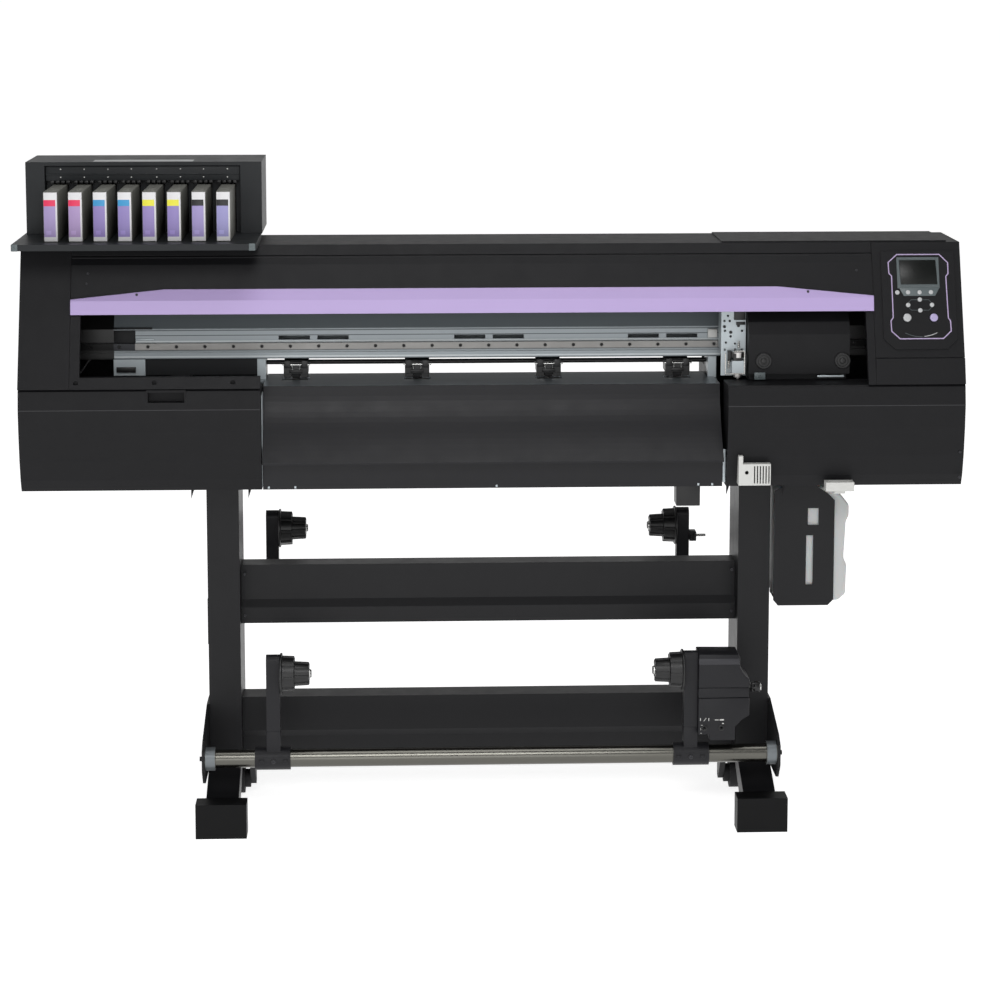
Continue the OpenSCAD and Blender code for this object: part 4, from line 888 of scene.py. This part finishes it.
core_holder("takeup_holder_left", "takeup_cone_left", "takeup_spin_left", -447, 1, -300, 338.5)
core_holder("takeup_holder_right", "takeup_cone_right", "takeup_spin_right", 398, -1, -300, 338.5)
core_holder("supply_holder_left", "supply_cone_left", "supply_spin_left", -468, 1, 170, 544)
core_holder("supply_holder_right", "supply_cone_right", "supply_spin_right", 429, -1, 170, 544)

# %% [markdown]
# ## Arms and clamps
# Each arm is clamped round its tube by a split collar. A socket screw closes it, and the
# arm's lower part is a separate, lighter casting.

# %% Collar screws and arm sleeves
for body, x, y, z, side in (("takeup_left", -475, -300, 157, 1), ("takeup_right", 398, -300, 157, -1),
                            ("supply_left", -496, 170, 390, 1), ("supply_right", 429, 170, 390, -1)):
    front = y - 15 if side else y
    sleeve = block((x - 0.8, front - 0.8, z + 22), (x + 28.8, front + 30.8, z + 62), 1.2)
    split = [block((x + a, y - 26.5, z - 4), (x + b, y - 22, z + 4), 1.0) for a, b in ((-16, -6), (34, 44))]
    keep([sleeve] + split, body + "_sleeve", arm_dark, body)
    keep([screw((x + 14, y - 24, z), FRONT, 4.6)], body + "_bolt", screw_dark, body)

# %% [markdown]
# ## Take-up motor
# The motor's housing is two shells with a band between them. A lighter strip across its
# front near the top is a painted highlight, where the rounded top catches the light. Below
# are two toggle switches under plain printed marks, and on the side sits a knob for winding by hand.

# %% Housing shells
MX, MZ, MY = 426.0, 338.5, -330.0


def shell_plate(flat, front, back, edge):
    """Part of the housing: an outline from the arm and the roll's axis, drawn to the back."""
    return plate([mm(MX + a, front, MZ + b) for a, b in flat], mm(0, back - front, 0), edge)


upper = shell_plate([
    (0.5, -32), (107, -32), (107, -14), (96, -4), (87, 12), (87, 30), (84, 39), (0.5, 40)],
    MY, -264, 2.0)
band = shell_plate([(0.5, -54), (105.5, -53), (105.5, -32.6), (0.5, -32.6)], MY + 1.4, -265, 0.8)
lower = shell_plate([
    (0.5, -54.8), (107, -53.8), (107, -92), (92, -101), (78, -116), (78, -145), (24, -144.6),
    (24, -132), (0.5, -132)], MY, -264, 1.6)
# A lighter strip near the housing's top: a painted highlight.
top_highlight_plate = shell_plate([(0.5, 18), (86, 18), (84.5, 31), (0.5, 31)], MY - 0.7, MY + 1, 0.5)
keep([top_highlight_plate], "motor_top_highlight_strip", motor_top_highlight, "takeup_right")
keep([upper, band, lower], "motor_housing", arm_dark, "takeup_right", ["takeup_motor"])

# %% [markdown]
# Two small toggle levers stand in collars under plain strokes that stand for the words of
# the real machine. The knob has six lobes, so that wet or gloved fingers can turn it.

# %% Switches, marks and knob
sockets = [turned((x, MY, 220.5), FRONT, [(-6, 6.4), (0.8, 6.4), (1.4, 5.4), (1.4, 3.6), (-0.6, 3.4)], 24)
           for x in (439, 475)]
keep(sockets, "switch_collars", pinch_black, "takeup_right")
levers = [turned((x, -327, 220.5), FRONT, [(0, 2.6), (9, 1.6), (13, 2.2), (15.4, 2.0), (16, 1.0)], 16)
          for x in (439, 475)]
keep(levers, "switch_levers", cone_black, "switches", ["motor_switches"])
signs = [block((x, MY - 0.3, z), (x + w, MY + 0.2, z + h), 0.15, 1) for x, z, w, h in (
    (430, 236, 1.6, 6), (447.5, 236, 1.6, 6), (432, 226, 3.4, 1.2), (461, 237, 8, 1.8), (471, 236.4, 9, 3),
    (476, 229, 4, 2.2), (431, 216, 1.2, 5), (431, 209, 3, 1.2))]
slash_points = ((437, 235.6), (438.6, 235.6), (443.6, 242), (442, 242))
slash = plate([mm(x, MY + 0.2, z) for x, z in slash_points], mm(0, -0.5, 0))
keep(signs + [slash], "switch_marks", white_plastic, "takeup_right")
KNOB_Y, KNOB_Z, LOBE_OUT = -300, 300, 9.2
grip = turned((533, KNOB_Y, KNOB_Z), RIGHT, [
    (-18, 4), (6, 4), (6, 9.6), (8, 11), (11, 9.2), (14, 11.6), (22, 11.8), (25, 10.4)], 24)
lobes = []
for k in range(6):
    angle = k * math.pi / 3
    at = (540, KNOB_Y + LOBE_OUT * math.cos(angle), KNOB_Z + LOBE_OUT * math.sin(angle))
    lobes.append(turned(at, RIGHT, [(0, 2.2), (1, 2.8), (17, 2.8), (18, 2.0)], 12))
keep([grip] + lobes, "winding_knob", cone_black, "knob", ["motor_knob"])
knob_end = turned((533, KNOB_Y, KNOB_Z), RIGHT, [(24, 8.6), (27.2, 8.4), (28, 6.8)], 24)
keep([knob_end], "knob_end", screw_bright, "knob")

# %% [markdown]
# ## Waste ink bottle
# A milky bottle catches spent ink. It is blow moulded, so its corners are full and round,
# and a hollow down its side makes a handle.

# %% Bottle
low, high = [c * 1000 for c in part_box("waste_bottle")]
side = [(low.x, low.z + 8), (low.x + 8, low.z), (high.x - 22, low.z), (high.x - 6, low.z + 14),
        (high.x - 4, low.z + 78), (high.x - 11, low.z + 92), (high.x - 7, high.z - 76),
        (high.x - 1, high.z - 64), (high.x - 1, high.z - 40), (high.x - 20, high.z - 16),
        (high.x - 46, high.z - 2), (low.x + 8, high.z - 2), (low.x, high.z - 10)]
bottle = plate([mm(a, low.y + 2, b) for a, b in side], mm(0, high.y - low.y - 4, 0), 5.0, 3)
seam = plate([mm(a, (low.y + high.y) / 2 - 0.6, b) for a, b in side], mm(0, 1.2, 0), 0.4, 1)
keep([bottle, seam], "waste_tank", milky, "bottle", ["waste_bottle"])

# %% [markdown]
# ## Stand fittings
# Bolts hold the beams, feet and end plates to the legs. The supply side has a small lever
# that locks its holder, and a black sensor box hangs beside the right leg.

# %% Bolts, collars and levers
bolts = [screw((x, -166.2, 708), FRONT, 3.4) for x in (-590, -552, 541, 583)]
bolts += [screw((x, -126.2, z), FRONT, 3.0) for x in (-528, 519) for z in (419, 510)]
bolts += [screw((x, y, z), d, 4.0) for x, d in ((-610.4, LEFT), (601.4, RIGHT))
          for y, z in ((-303, 157), (-130, 150), (-130, 205))]
keep(bolts, "stand_bolts", screw_dark, "stand")
collars = [turned((x, -300, 157), RIGHT, [(0, 21), (0.6, 24.6), (20.6, 24.6), (22, 23), (22, 20)], 40)
           for x in (-604, 573)]
keep(collars, "tube_collars", collar_grey, "stand")
lock = [block((458, 156, 509), (474, 184, 531), 2.0), block((462, 150, 514), (470, 157, 526), 1.0)]
keep(lock, "supply_lock", arm_dark, "supply_right")
keep([rod((474, 170, 520), (496, 170, 520), 3.2, 16)], "supply_lock_pin", screw_bright, "supply_right")
sensor = block((395, -150, 656), (446, -100, 721.6), 1.5)
keep([sensor], "sensor_box", pinch_black, "stand")

# %% [markdown]
# ## Guide edge
# Small bright tabs show along the lower edge of the front panel, and a pale strip of the
# chassis shows at each of its ends.

# %% Tabs and strips
tabs = [block((x, -264.2, 724), (x + 4, -262.8, 729), 0.3) for x in (-469, -414, 5, 427, 456)]
keep(tabs, "guide_tabs", bracket_grey, "stand")
strips = [block((-480.6, -262, 726), (-479.4, -210, 920), 0.3),
          block((480, -262, 730), (485.5, -255, 800), 0.4)]
keep(strips, "guide_end_strips", bracket_grey, "stand")
